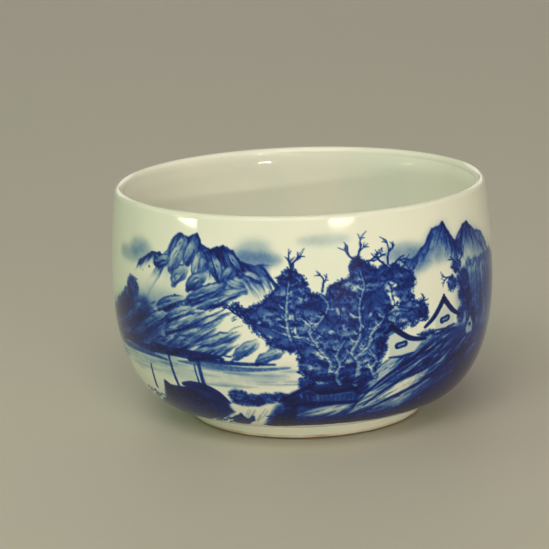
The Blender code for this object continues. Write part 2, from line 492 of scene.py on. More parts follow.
def peaks(ridge, depth, density, ribs=40, shade=1.0, bushes=0, lean=0.0):
    # a mountain: a broken crest, a wash that fades down into mist, and texture strokes running down its ribs
    crest = jagged(ridge, 0.12)
    crestA = np.array([p[0] for p in crest])
    order = np.argsort(crestA)
    crestA, crestD = crestA[order], np.array([p[1] for p in crest])[order]
    corners = [(crestA[0], crestD.min() - 0.5), (crestA[-1], crestD.max() + depth)]
    rows, columns, gridA, gridD = window(corners, 0)
    top = np.interp(gridA, crestA, crestD)
    below = (gridD - top) / depth
    ends = np.clip((gridA - crestA[0]) / 3, 0, 1) * np.clip((crestA[-1] - gridA) / 3, 0, 1)
    wash = np.clip(below * depth / 0.15 + 0.5, 0, 1) * (0.55 * np.exp(-np.clip(below, 0, 9) * 5)
                                                       + 0.42 * np.clip(1 - below, 0, 1) ** 1.4)
    layDown(rows, columns, wash * density * ends * (0.5 + pools[rows, columns] * 0.5 + blots[rows, columns] * 0.4))
    high = [i for i in range(1, len(ridge) - 1) if ridge[i][1] < ridge[i - 1][1] and ridge[i][1] < ridge[i + 1][1]]
    tops = [ridge[i] for i in high] or [min(ridge, key=lambda p: p[1])]
    for _ in range(ribs):
        k = brush.randrange(len(crestA))
        a, d = float(crestA[k]), float(crestD[k])
        near = min(tops, key=lambda p: abs(p[0] - a))
        side = max(-1, min(1, (a - near[0]) / 3)) + lean + brush.uniform(-0.3, 0.3)
        length = depth * brush.uniform(0.25, 0.85)
        d += brush.uniform(0, depth * 0.35)
        points = [(a, d)]
        for step in range(4):
            a += (side * 0.75 + brush.uniform(-0.35, 0.35)) * length / 4
            d += length / 4
            points.append((a, d))
        dark = density * brush.uniform(0.3, 1.0) * shade
        stroke(points, (0.55, 0.35, 0.15), (dark, dark * 0.7, dark * 0.15), 0.16, dry=0.4)
    for top in tops:
        for side in (-1, 1):
            a, d = top
            points = [top]
            for step in range(6):
                a += (side * brush.uniform(0.2, 0.9) + lean * 0.5) * depth / 9
                d += depth / 8
                points.append((a, d))
            stroke(points, (0.5, 0.4, 0.2), (density * 1.1, density * 0.3), 0.14)
    line = list(zip(crestA.tolist(), crestD.tolist()))
    fade = (0.1, density * 1.2, density * 1.3, density * 1.2, 0.1)
    stroke(line[::2], (0.2, 0.5, 0.4, 0.5, 0.2), fade, 0.13, dry=0.3)
    for _ in range(bushes):
        k = brush.randrange(len(crestA))
        inside = min(crestA[k] - crestA[0], crestA[-1] - crestA[k])
        dark = density * min(1, max(0, inside - 1.5) / 3)        # none where the crest runs out in mist
        dab(float(crestA[k]) + brush.uniform(-0.4, 0.4), float(crestD[k]) + brush.uniform(-0.3, 2.5),
            brush.uniform(0.4, 0.8), brush.uniform(0.3, 0.5), brush.uniform(-0.5, 0.5), dark)


def rock(a0, d0, a1, d1, width, light, dark, line=1.0):
    # one rounded rock that runs from its upper end to its lower end: pale under its crest, dark at its foot and
    # along its outline; it covers what lies behind it
    length = math.hypot(a1 - a0, d1 - d0)
    c, s = (a1 - a0) / length, (d1 - d0) / length
    rows, columns, gridA, gridD = window([(a0, d0), (a1, d1)], width * 0.8)
    wave = blots[rows, columns] - 0.5
    ruffle = grain[rows, columns] - 0.5
    u = ((gridA - a0) * c + (gridD - d0) * s) / length + wave * 0.1
    side = 1 if c > 0 else -1
    half = width / 2 * np.clip(np.sin(np.pi * np.clip(u, 0, 1)), 0, 1) ** 0.55 + 1e-3
    v = side * ((gridD - d0) * c - (gridA - a0) * s) + wave * 0.8 + ruffle * 0.14
    edge = np.clip((half - np.abs(v)) / 0.16 + 0.5, 0, 1) * np.clip(u / 0.3, 0, 1) * np.clip((1 - u) / 0.1, 0, 1)
    t = np.clip(v / half, -1, 1)
    table = np.array([brush.random() for _ in range(24)])
    streak = np.interp((t * 7 + u * 2.2) % 23, np.arange(24), table)
    fine = np.interp((t * 15 + u * 3.5 + 5) % 23, np.arange(24), table)
    foot = np.clip((u - 0.35) / 0.65, 0, 1) ** 1.5
    tone = light + (dark - light) * np.clip(np.clip(0.5 + 0.5 * t, 0, 1) ** 1.5 * (0.45 + 0.55 * u) + 0.55 * foot,
                                            0, 1.2)
    tone = tone * (0.55 + 0.6 * streak + 0.3 * fine)
    crest = np.exp(-((v + half) / 0.26) ** 2) + 0.55 * np.exp(-((v - half) / 0.3) ** 2)
    crest *= np.clip(np.sin(np.pi * np.clip(u, 0.03, 0.97)) * 1.8, 0, 1) * np.clip(0.35 + wave * 2.4 + 0.6, 0.15, 1)
    tone = np.maximum(tone, crest * line * (0.7 + 0.5 * streak))
    ink[rows, columns] = ink[rows, columns] * (1 - edge) + tone * edge


def rocks(places, light, dark, line=1.0):
    # many rocks, the far ones first; each is (a0, d0, a1, d1, width, strength)
    for a0, d0, a1, d1, width, strength in sorted(places, key=lambda r: r[1] + r[3]):
        rock(a0, d0, a1, d1, width, light * strength, dark * strength, line * (0.35 + 0.65 * strength))
        for _ in range(2):
            t = brush.uniform(0.15, 0.7)
            a, d = a0 + (a1 - a0) * t, d0 + (d1 - d0) * t
            part = brush.uniform(0.3, 0.5)
            rock(a, d + width * 0.12, a + (a1 - a0) * part, d + (d1 - d0) * part + width * 0.2, width * 0.55,
                 light * strength, dark * strength * 0.9, line * strength * 0.85)
        # the crevice under it: a loaded stroke that thins upward, with a thin pale edge left above
        for _ in range(2):
            t, drop = brush.uniform(0.0, 0.35), width * brush.uniform(0.05, 0.5)
            crack = [(a0 + (a1 - a0) * k + brush.gauss(0, 0.12),
                      d0 + (d1 - d0) * k + drop * math.sin(k * 2.4) + brush.gauss(0, 0.1))
                     for k in (t, t + 0.2, t + 0.4, t + 0.6)]
            crack = smoothed(crack, 5)
            stroke(crack, (0.12, 0.5, 0.95), dark * strength * brush.uniform(0.5, 0.95), 0.2, dry=0.35)
            stroke([(a + 0.1, d - 0.42) for a, d in crack], (0.08, 0.3, 0.2), 0.5, 0.14, lift=True)


def cottage(ridge, leftEave, rightEave, wall, pane):
    # a white wall with one window under a heavy curved roof; every place is given in the sheet's millimetres
    area(wall, 1.0, 0.07, 0, lift=True)
    area(wall, 0.05, 0.1, 0)
    for eave in (leftEave, rightEave):
        middle = ((ridge[0] + eave[0]) / 2, (ridge[1] + eave[1]) / 2 + 0.12 * abs(eave[0] - ridge[0]))
        stroke(smoothed([ridge, middle, eave], 6), (1.15, 1.0, 0.55), 1.7, 0.1)
    stroke([ridge, (ridge[0] + 0.05, ridge[1] - 0.7)], (0.7, 0.5), 1.5, 0.1)
    a, d = pane
    stroke([(a - 0.85, d + 0.1), (a + 0.85, d - 0.15)], (1.25, 1.25), 1.7, 0.1)
    stroke([(a - 0.6, d + 0.1), (a + 0.75, d - 0.12)], (0.5, 0.45), 0.85, 0.08, lift=True)
    stroke([wall[-1], ((wall[-1][0] + wall[-2][0]) / 2, wall[-1][1] + 0.25), wall[-2]], (0.3, 0.5, 0.3), 1.0, 0.15)


def gap(a, d, wide, tall, amount=0.9):
    # a ragged opening where the ground shows through: a few torn patches side by side, leaves left across them
    for _ in range(3):
        middleA, middleD = a + brush.gauss(0, wide * 0.22), d + brush.gauss(0, tall * 0.22)
        reach = brush.uniform(0.3, 0.62)
        tornArea(oval(middleA, middleD, wide * reach, tall * reach, 7, (0.5, 1.5)), 0.24, 3, amount, 0.1, lift=True)
    for _ in range(int(1 + wide * tall * 0.9)):
        dab(a + brush.gauss(0, wide / 3.2), d + brush.gauss(0, tall / 3.2), brush.uniform(0.3, 0.7),
            brush.uniform(0.2, 0.32), brush.uniform(-1.3, 1.3), brush.uniform(0.4, 0.9))


def thicket(outline, density, lumps):
    # a crowd of tree crowns: one broken mass, then many small crowns, each dark below and lighter above
    before = ink.copy()
    tornArea(outline, 0.22, 4, density, 0.13, 0.6)
    crowns = ink - before
    low, high = min(p[0] for p in outline), max(p[0] for p in outline)
    top, foot = min(p[1] for p in outline), max(p[1] for p in outline)
    for _ in range(lumps):
        a, d = brush.uniform(low, high), brush.uniform(top, foot)
        rows, columns = min(int(d / sheet["dot"]), sheet["rows"] - 1), int(a / sheet["dot"]) % sheet["columns"]
        if crowns[rows, columns] < density * 0.3:
            continue
        wide, tall = brush.uniform(1.6, 3.4), brush.uniform(1.2, 2.4)
        lit = oval(a, d - tall * 0.2, wide, tall, 9, (0.6, 1.15))
        area(lit, brush.uniform(0.12, 0.58), 0.22, lift=True)
        for _ in range(int(wide * tall * 5)):
            turn, far = brush.uniform(0, math.pi), math.sqrt(brush.random())
            dab(a + math.cos(turn) * far * wide / 2, d + math.sin(turn) * far * tall / 2, brush.uniform(0.35, 0.8),
                brush.uniform(0.22, 0.4), brush.uniform(-1.3, 1.3), brush.uniform(0.2, 0.6) * (0.7 + 0.6 * far))
    rim = jagged(outline + outline[:1], 0.12, 4)
    for a, d in rim:
        for _ in range(3):
            dab(a + brush.gauss(0, 0.3), d + brush.gauss(0, 0.3), brush.uniform(0.25, 0.5), brush.uniform(0.22, 0.4),
                brush.uniform(-1.4, 1.4), brush.uniform(0.35, 1.0) * density)


def water(a0, a1, d0, d1, count, density=0.16):
    for _ in range(count):
        a, d = brush.uniform(a0, a1), brush.uniform(d0, d1)
        length = brush.uniform(3, 11)
        stroke([(a, d), (a + length / 2, d + brush.uniform(-0.1, 0.1)), (a + length, d)],
               (0.1, brush.uniform(0.2, 0.7), 0.1), density * brush.uniform(0.3, 1.1), 0.35)


def boat(a, d, length, sail=False, density=1.1):
    hull = [(a - length / 2, d - 0.35), (a - length * 0.3, d + 0.1), (a + length * 0.25, d + 0.1),
            (a + length / 2, d - 0.45)]
    stroke(smoothed(hull, 4), (0.15, 0.5, 0.55, 0.15), density, 0.1)
    if sail:
        area([(a - 0.1, d), (a + 0.15, d - length * 0.85), (a + length * 0.28, d - length * 0.4), (a + 0.6, d - 0.1)],
             0.35, 0.08, 0.2)
        stroke([(a, d), (a + 0.1, d - length * 0.95)], (0.18, 0.12), density, 0.08)
    else:
        stroke([(a - length * 0.2, d - 0.2), (a, d - 0.75), (a + length * 0.2, d - 0.2)], (0.3, 0.4, 0.3), density,
               0.1)
    stroke([(a - length * 0.4, d + 0.5), (a + length * 0.4, d + 0.55)], (0.1, 0.25, 0.1), 0.25, 0.15)


def paintFarShore():
    # the left of the front: far peaks in mist, a long folded headland, water with mooring poles
    cloudWash(-38.2, 8.6, 8, 3.8, 0.19)
    cloudWash(-43, 10.2, 9, 3.0, 0.14)
    cloudWash(-9.5, 6.2, 7, 3.8, 0.13)
    cloudWash(-12.5, 7.2, 5, 2.4, 0.1)
    cloudWash(-9.0, 8.0, 10, 2.6, 0.26)
    cloudWash(4.5, 4.4, 11, 2.2, 0.07)
    peaks([(-39, 10.9), (-37.2, 10.3), (-35.4, 9.3), (-33.4, 8.5), (-31.6, 8.4), (-30.0, 8.9)], 2.4, 0.75, 30, 1.2, 8)
    peaks([(-31.4, 9.8), (-29.5, 7.7), (-28.2, 5.5), (-25.9, 3.9), (-24.2, 4.5),
           (-21.8, 3.6), (-20.9, 5.6), (-18.6, 6.5), (-15.9, 5.6), (-13.6, 6.8), (-12.3, 8.6), (-9.5, 9.2),
           (-5.9, 9.0)], 8.0, 0.62, 85, 1.0, 24, -0.15)
    area([(-46, 12.4), (-36, 12.0), (-31, 12.8), (-27.5, 15.0), (-32, 16.6), (-38, 17.2), (-46, 17.4)], 0.75, 1.1,
         0, lift=True)
    peaks([(-22, 8.0), (-19.5, 6.9), (-17.2, 5.9), (-14.8, 6.6), (-12.5, 8.3), (-9, 9.6)], 6.0, 0.75, 40, 1.2, 24)
    rocks([(-28.2, 8.6, -33.4, 10.8, 2.4, 1.25), (-24.4, 4.1, -27.4, 8.4, 2.4, 0.75),
           (-25.2, 5.6, -29.0, 11.8, 3.2, 0.6), (-21.9, 4.4, -24.8, 10.2, 2.8, 0.8),
           (-20.8, 6.6, -22.2, 12.6, 3.2, 0.6), (-18.6, 7.2, -16.6, 12.6, 2.8, 0.9),
           (-15.6, 6.3, -12.2, 11.0, 2.6, 1.3), (-13.4, 9.0, -16.2, 13.2, 2.6, 1.1),
           (-23.8, 10.2, -28.6, 13.6, 2.8, 0.8), (-19.5, 11.2, -24.6, 14.6, 3.0, 1.0),
           (-12.4, 10.4, -8.0, 12.0, 2.0, 0.7), (-15.8, 12.4, -11.0, 13.8, 2.2, 0.8)], 0.10, 0.95, 1.3)
    headland()
    water(-58, -2, 29.8, 34.4, 46, 0.13)
    area([(-60, 29.4), (-2, 29.2), (-2, 33.2), (-20, 34.4), (-60, 33.8)], 0.06, 0.8, 0.9)
    for a, d0, d1, lean, wide in [(-22.7, 29.4, 35.4, 0.4, 1.0), (-30.6, 28.4, 36.8, 0.9, 0.75),
                                  (-37.6, 32.6, 38.4, -1.3, 0.7), (-23.9, 30.4, 35.0, 0.5, 0.4)]:
        stroke([(a, d0), (a + lean * 0.4, (d0 + d1) / 2), (a + lean, d1)], (wide * 0.7, wide), (0.75, 0.95), 0.12)


def headland():
    cloudWash(-32, 22, 24, 10, 0.25)
    area([(-36, 18.5), (-42, 19.5), (-49, 21.5), (-54, 24), (-57, 27.5), (-52, 28.6), (-44, 28.4), (-38, 27.5),
          (-33, 24)], 0.95, 0.8, 0.8)
    clumps([(-41.5, 16.9, 5.5, 5.2), (-43.4, 18.8, 5.0, 3.6), (-45.5, 20.6, 5.5, 4.0), (-48.5, 22.4, 6.0, 4.4),
            (-52.5, 24.8, 6.0, 4.4), (-55.5, 27.0, 5.5, 3.0)], 5, 0.55, 0.62, 0.55)
    rocks([(-14.0, 12.8, -25.0, 17.2, 3.0, 1.0), (-10.5, 13.9, -19.0, 16.0, 2.2, 0.6),
           (-13.0, 15.2, -22.6, 18.4, 2.2, 0.55), (-24.6, 16.6, -33.0, 19.6, 3.0, 1.15),
           (-22.0, 18.0, -30.6, 21.8, 3.0, 0.85), (-19.0, 19.4, -31.4, 24.1, 3.0, 0.9),
           (-15.6, 19.4, -25.0, 23.4, 2.6, 0.55), (-17.4, 21.8, -29.5, 26.4, 3.2, 0.95),
           (-12.2, 22.6, -22.4, 26.4, 2.8, 0.6), (-22.0, 24.4, -31.6, 28.2, 3.0, 1.1),
           (-14.0, 24.8, -21.0, 28.2, 2.8, 0.8), (-8.6, 23.9, -14.6, 27.8, 2.6, 0.55),
           (-3.0, 25.3, -10.0, 28.5, 2.4, 0.55), (-29.2, 20.3, -37.0, 23.8, 3.2, 1.2),
           (-32.0, 21.9, -40.0, 25.8, 3.2, 1.0), (-36.6, 19.6, -42.6, 23.0, 3.2, 1.25),
           (-40.4, 21.6, -46.2, 25.6, 3.4, 1.2), (-44.0, 23.6, -49.4, 27.4, 3.4, 1.2),
           (-35.6, 24.4, -43.4, 27.9, 3.2, 1.2), (-28.0, 25.8, -36.6, 28.5, 3.0, 1.2),
           (-18.0, 26.2, -25.0, 28.8, 2.6, 1.1), (-48.5, 25.4, -54.5, 28.4, 3.2, 1.1),
           (-43.0, 26.4, -50.0, 28.9, 2.6, 1.2)], 0.08, 1.35, 1.5)
    for k in range(230):
        a = brush.uniform(-51, -12)
        d = brush.uniform(13.6 + (-12 - a) * 0.22, 28.0)
        length, bow = brush.uniform(1.2, 4.6), brush.uniform(-0.25, 0.35)
        stroke(smoothed([(a, d), (a - length * 0.5, d + length * 0.2 + bow), (a - length, d + length * 0.5)], 4),
               (0.08, brush.uniform(0.22, 0.5), 0.1), brush.uniform(0.3, 0.7), 0.12, lift=k % 2 == 0, dry=0.3)
    area([(-57, 26), (-49, 21.5), (-41, 19.5), (-33, 23.5), (-30, 28.4), (-44, 28.8), (-55, 28.4)], 0.5, 1.6, 0.8)
    for line, dark in [([(-52, 28.4), (-40, 28.9), (-28, 28.6), (-16, 29.1), (-6, 29.0)], 0.9),
                       ([(-35, 27.4), (-29, 27.9), (-22, 27.8), (-17, 28.2)], 0.85),
                       ([(-58, 29.6), (-48, 30.2), (-38, 30.0), (-31, 30.4)], 0.5),
                       ([(-28, 30.1), (-20, 30.0), (-12, 30.3), (-3, 29.7)], 0.35)]:
        stroke(smoothed(line, 6), (0.3, 1.3, 1.0, 0.3), dark * 1.15, 0.22, dry=0.25)
    for _ in range(60):
        a = brush.uniform(-50, -14)
        dab(a, 28.3 + brush.uniform(-0.8, 0.5), brush.uniform(0.6, 1.8), brush.uniform(0.3, 0.6), 0, 0.7)


def paintNearBank():
    # bottom left: a dark spit with a moored boat, bushes, a stream between rocks
    area([(-58, 46.8), (-50, 45.4), (-42, 43.6), (-37.4, 41.2), (-35.4, 38.4), (-33.2, 36.9), (-30.6, 37.3),
          (-27.5, 36.2), (-24, 38.2), (-18, 39.4), (-17, 41.2), (-20, 43.0), (-24, 44.6), (-28, 46.6)], 1.5, 0.35,
         0.5)
    stroke(smoothed([(-28.2, 35.4), (-25.5, 35.0), (-22.0, 35.4), (-19.2, 36.6), (-17.2, 38.6)], 6),
           (0.7, 1.4, 1.6, 1.3, 0.6), 1.25, 0.2)
    area([(-27.6, 35.6), (-22, 35.4), (-18.2, 37.6), (-17.4, 39.6), (-23, 39.4), (-27, 38.0)], 1.4, 0.2, 0.4)
    area([(-35.6, 38.6), (-34.2, 35.5), (-32.4, 36.5), (-26.6, 36.1), (-23.8, 37.6), (-22.4, 40.2), (-34.6, 40.6)],
         1.6, 0.1)
    stroke([(-34.4, 39.6), (-29.0, 39.9), (-23.4, 40.3)], (0.16, 0.34, 0.16), 0.6, 0.1, lift=True, dry=0.4)
    stroke([(-31.8, 37.6), (-27.6, 37.5), (-24.8, 38.6)], (0.12, 0.26, 0.12), 0.45, 0.1, lift=True, dry=0.4)
    clumps([(-14.6, 36.6, 5.0, 3.6), (-11.2, 37.2, 4.4, 2.8), (-8.2, 36.8, 4.6, 2.8), (-5.6, 36.4, 3.4, 2.4),
            (-12.6, 38.2, 9.0, 1.8)], 7, 0.5, 0.6, 0.55)
    for _ in range(34):
        a, d = brush.uniform(-44, -19), brush.uniform(37.5, 45.5)
        stroke([(a, d), (a - 1.2, d + 0.3), (a - brush.uniform(2.2, 4.2), d + brush.uniform(0.8, 1.8))],
               (0.1, 0.4, 0.1), brush.uniform(0.15, 0.5), 0.14, lift=True, dry=0.4)
    for a, d, wide in [(-42, 41.2, 9), (-33, 43.2, 12), (-25, 43.4, 8)]:
        for _ in range(26):
            dab(a + brush.uniform(-0.5, 0.5) * wide, d + brush.uniform(-1.5, 1.5), brush.uniform(0.8, 2.2), 0.5,
                brush.uniform(-0.6, 0.1), 0.6)
    for stone in ([(-18.6, 46.4), (-18.4, 44.2), (-17.0, 42.6), (-15.2, 41.4), (-14.6, 42.8), (-14.0, 43.6),
                   (-12.2, 42.0), (-12.6, 43.8), (-14.2, 45.2), (-15.4, 46.4)],
                  [(-10.4, 46.6), (-9.0, 44.6), (-7.6, 42.8), (-6.4, 41.4), (-4.6, 39.6), (-2.0, 38.6), (-2.4, 42),
                   (-4, 46.6)]):
        tornArea(stone, 0.16, 3, 1.35, 0.14)
    for _ in range(26):
        a, d = brush.uniform(-24, -15.5), brush.uniform(40.5, 45.5)
        length = brush.uniform(1.5, 4.0)
        stroke([(a, d), (a - length * 0.5, d + length * 0.2), (a - length, d + length * 0.55)], (0.1, 0.4, 0.1),
               brush.uniform(0.5, 1.1), 0.12, dry=0.4)
    for _ in range(12):
        a, d = brush.uniform(-13, -7), brush.uniform(39.5, 42)
        stroke([(a, d), (a - 1.0, d + 1.6), (a - brush.uniform(1.6, 2.6), d + brush.uniform(2.6, 4.2))],
               (0.1, 0.22, 0.08), brush.uniform(0.12, 0.3), 0.12)


def paintOldTrees():
    # the middle of the front: a stand of old trees, dense and dark, their trunks left pale
    crowns = [(-13.2, 16.8), (-11.4, 18.2), (-9.5, 17.3), (-7.7, 16.4), (-6.4, 15.0), (-5.0, 13.6), (-4.1, 11.4),
              (-2.7, 10.0), (-1.4, 10.5), (0.0, 11.8), (0.5, 13.6), (1.4, 15.5), (2.7, 15.0), (4.1, 16.4),
              (5.5, 13.6), (6.8, 13.4), (8.2, 12.7), (10.0, 11.8), (9.5, 10.0), (10.9, 8.4), (11.8, 9.1),
              (13.2, 10.5), (15.0, 11.4), (16.8, 10.5), (19.1, 10.5), (20.5, 11.8), (22.7, 12.7), (23.2, 14.5),
              (21.8, 17.3), (23.2, 18.6), (25.0, 19.1), (26.1, 20.2), (25.9, 21.8), (23.2, 22.3), (19.5, 23.6),
              (16.0, 25.3), (15.4, 29.1), (14.4, 31.4), (11.4, 33.2), (2.3, 32.3), (0.0, 31.4), (-0.9, 29.1),
              (-0.5, 27.3), (-1.4, 25.9), (-4.1, 25.9), (-6.8, 25.0), (-7.7, 23.2), (-10.0, 21.8), (-10.9, 19.5),
              (-13.2, 18.2)]
    thicket(crowns, 0.7, 420)
    clumps([(-2.2, 12.4, 3.4, 3.4), (6.6, 14.6, 4.6, 3.6), (11.0, 9.6, 3.0, 3.0), (13.2, 11.6, 4.4, 3.6),
            (18.4, 12.2, 5.4, 3.0), (21.6, 14.2, 3.6, 3.2), (24.6, 20.6, 3.2, 2.6), (-6.0, 16.8, 3.8, 3.4),
            (-9.8, 19.6, 4.2, 3.2), (2.8, 17.4, 3.0, 3.0)], 5, 0.5, 0.45, 0.35)
    for a, d, wide, tall in [(6.9, 18.6, 2.8, 2.4), (16.8, 14.4, 4.8, 2.8), (-2.9, 19.6, 1.5, 3.2),
                             (19.0, 18.2, 2.2, 1.2), (-8.6, 20.2, 1.3, 1.0), (20.8, 22.2, 2.6, 1.0),
                             (1.2, 20.4, 1.6, 1.4), (8.2, 22.4, 1.6, 1.6), (-6.4, 23.6, 1.8, 0.9),
                             (13.2, 19.6, 1.2, 1.5), (3.0, 27.6, 1.6, 1.8), (15.4, 27.6, 1.2, 1.6),
                             (10.2, 14.6, 1.2, 2.2), (22.6, 16.4, 1.6, 1.2), (-4.8, 26.0, 2.2, 1.0),
                             (-0.6, 16.0, 1.0, 1.6), (5.0, 22.6, 1.3, 1.0), (17.4, 24.0, 1.6, 0.9),
                             (12.6, 30.4, 1.0, 1.4), (0.8, 30.0, 1.2, 1.0)]:
        gap(a, d, wide, tall, 0.85)
    gap(18.9, 17.4, 3.6, 3.0, 1.3)
    gap(18.7, 17.2, 3.0, 2.6, 1.0)
    gap(-2.2, 21.2, 2.0, 3.6, 1.1)
    trunk([(10.6, 34.0), (10.4, 31.4), (10.9, 29.2), (9.6, 27.2), (10.4, 24.6), (11.4, 21.0), (10.8, 17.6),
           (12.0, 14.4), (11.4, 11.2)], (1.1, 1.0, 0.9, 0.7, 0.5, 0.3))
    trunk([(10.6, 28.6), (12.8, 26.0), (13.4, 23.4), (15.6, 21.2), (18.6, 19.6), (21.4, 19.8)], (1.0, 0.8, 0.6, 0.4))
    trunk([(4.4, 31.6), (5.2, 29.4), (4.2, 27.4), (2.2, 25.0), (0.0, 23.6), (-3.2, 23.2), (-6.2, 22.0)],
          (0.9, 0.8, 0.7, 0.5, 0.35))
    trunk([(2.2, 25.0), (1.4, 22.4), (3.2, 20.4), (4.6, 17.6), (3.8, 15.2)], (0.8, 0.6, 0.4))
    trunk([(-2.6, 24.0), (-3.8, 21.0), (-3.0, 17.6), (-3.4, 14.0), (-2.4, 11.0)], (0.7, 0.6, 0.3))
    trunk([(14.6, 33.4), (13.6, 31.2), (14.4, 29.0), (13.2, 27.0)], (0.9, 0.7, 0.5))
    trunk([(7.2, 33.8), (6.2, 31.8), (7.0, 29.6), (6.4, 27.2), (7.8, 24.8)], (0.8, 0.7, 0.5))
    foliage(15.6, 26.6, 2.8, 5.0, 90, 0.5, 0.9, 0.4)
    foliage(3.6, 32.0, 6.0, 1.8, 60, 0.5, 0.7, 0.5)
    foliage(11.4, 33.2, 7.0, 1.8, 70, 0.5, 0.7, 0.5)
    cottage((17.8, 22.9), (16.4, 23.9), (26.0, 26.6), [(17.0, 24.6), (18.6, 23.9), (21.6, 25.8), (25.2, 27.0),
                                                       (23.0, 29.0), (17.4, 29.2)], (20.0, 26.9))
    twigs([(-2.4, 12.2, -0.3, 3.4), (-2.4, 11.6, 0.55, 3.2), (-13, 18.4, -0.9, 2.6), (-12.6, 19.2, -1.3, 2.8),
           (11.4, 9.6, -0.9, 3.6), (11.2, 8.6, -0.1, 3.0), (11.4, 9.8, 0.7, 3.2), (17.4, 10.2, 0.1, 3.2),
           (17.0, 10.8, -0.6, 2.4), (18.6, 10.6, 0.9, 3.0), (3.8, 14.4, 0.2, 2.2), (2.4, 15.6, -0.5, 1.8),
           (24.4, 19.4, 0.8, 1.8)], 0.42, 1.05)
    for _ in range(26):
        a, d = brush.uniform(-8, 21), brush.uniform(15, 25)
        twig(a, d, brush.uniform(-1.2, 1.2), brush.uniform(1.4, 2.8), 0.3, 1, 0.9)


def paintHamlet():
    # right of the trees: two cottages on a rocky slope, far peaks in mist above them, a wooded cliff beyond
    cloudWash(21, 8.6, 9, 3.4, 0.22)
    peaks([(20, 10.4), (23.8, 9.6), (26.8, 7.4), (28.6, 5.0), (31.8, 4.1), (32.8, 5.6), (34.2, 7.7), (36.2, 8.6),
           (38.6, 5.9), (40.4, 5.6), (41.4, 6.8), (45, 8.2), (48, 10), (51, 12)], 6.4, 0.62, 70, 0.9, 6)
    peaks([(30.5, 6.5), (31.9, 4.2), (33.0, 6.4), (35.4, 9.0), (38.4, 6.1), (40.5, 5.7), (43.5, 8.6)], 4.6, 0.5, 26)
    area([(21, 10.6), (26, 8.0), (28.4, 5.6), (31.8, 4.4), (34, 8.2), (35.6, 9.0), (38.4, 6.6), (40.4, 6.0),
          (45, 8.6), (50, 11.2), (46, 12.6), (38, 11.6), (31, 11.4), (23, 12.2)], 0.24, 0.9, 0.8)
    area([(23.5, 13.2), (33, 12.6), (34, 19.5), (28, 20.8), (24.6, 17.6)], 0.8, 1.0, 0, lift=True)
    area([(36, 16.5), (40, 14.2), (50, 13.6), (56, 15.0), (60, 18.5), (62, 23.0), (65, 28.0), (67, 33.5),
          (40, 31.5), (37.4, 24)], 0.36, 1.6, 0.9)
    for _ in range(120):
        a = brush.uniform(38.5, 63)
        d0 = brush.uniform(13.5, 20) + abs(a - 47) * 0.06 + max(a - 54, 0) * 0.9
        d1 = d0 + brush.uniform(5, 13)
        dark = brush.uniform(0.15, 0.65)
        stroke([(a, d0), (a + brush.uniform(-0.2, 0.2), (d0 + d1) / 2), (a, d1)],
               (0.15, brush.uniform(0.3, 1.1), 0.2), dark, 0.25, dry=0.6)
    for k in range(17):
        a = 38.6 + k * 1.5 + brush.uniform(-0.4, 0.4)
        d = 14.4 + max(a - 54, 0) * 0.9 + brush.uniform(-0.8, 0.8)
        foliage(a, d, 2.4, brush.uniform(1.4, 2.6), 16, 0.45, 0.42, 0.3)
    clumps([(33.6, 16.8, 3.2, 3.4), (35.4, 13.4, 3.6, 3.4), (37.2, 16.6, 4.6, 4.6), (38.6, 21.0, 4.4, 5.2),
            (41.0, 25.6, 4.8, 5.0), (36.8, 19.6, 3.2, 2.6)], 7, 0.55, 0.62, 0.4)
    twigs([(35.6, 12.4, 0.0, 2.4), (35.2, 13.0, -0.8, 2.4), (36.4, 12.8, 0.8, 2.2),
           (34.0, 15.8, -1.1, 2.4)], 0.36, 1.0)
    rockySlope()
    cottage((30.9, 19.3), (25.7, 24.2), (36.0, 23.6), [(28.4, 23.4), (31.2, 20.6), (34.2, 23.2), (34.2, 25.2),
                                                       (28.6, 25.4)], (31.2, 23.6))
    foliage(36.4, 23.8, 3.0, 4.0, 80, 0.5, 0.5, 0.4)
    foliage(26.4, 25.6, 5.0, 1.2, 50, 0.5, 0.8, 0.5)
    foliage(32.0, 26.3, 8.0, 1.0, 60, 0.5, 0.8, 0.5)
    area([(38.6, 27.0), (40.2, 24.6), (41.8, 27.0), (41.6, 28.6), (39.2, 28.6)], 0.85, 0.15, 0, lift=True)
    dab(40.2, 26.6, 1.2, 0.7, 0.2, 0.9)


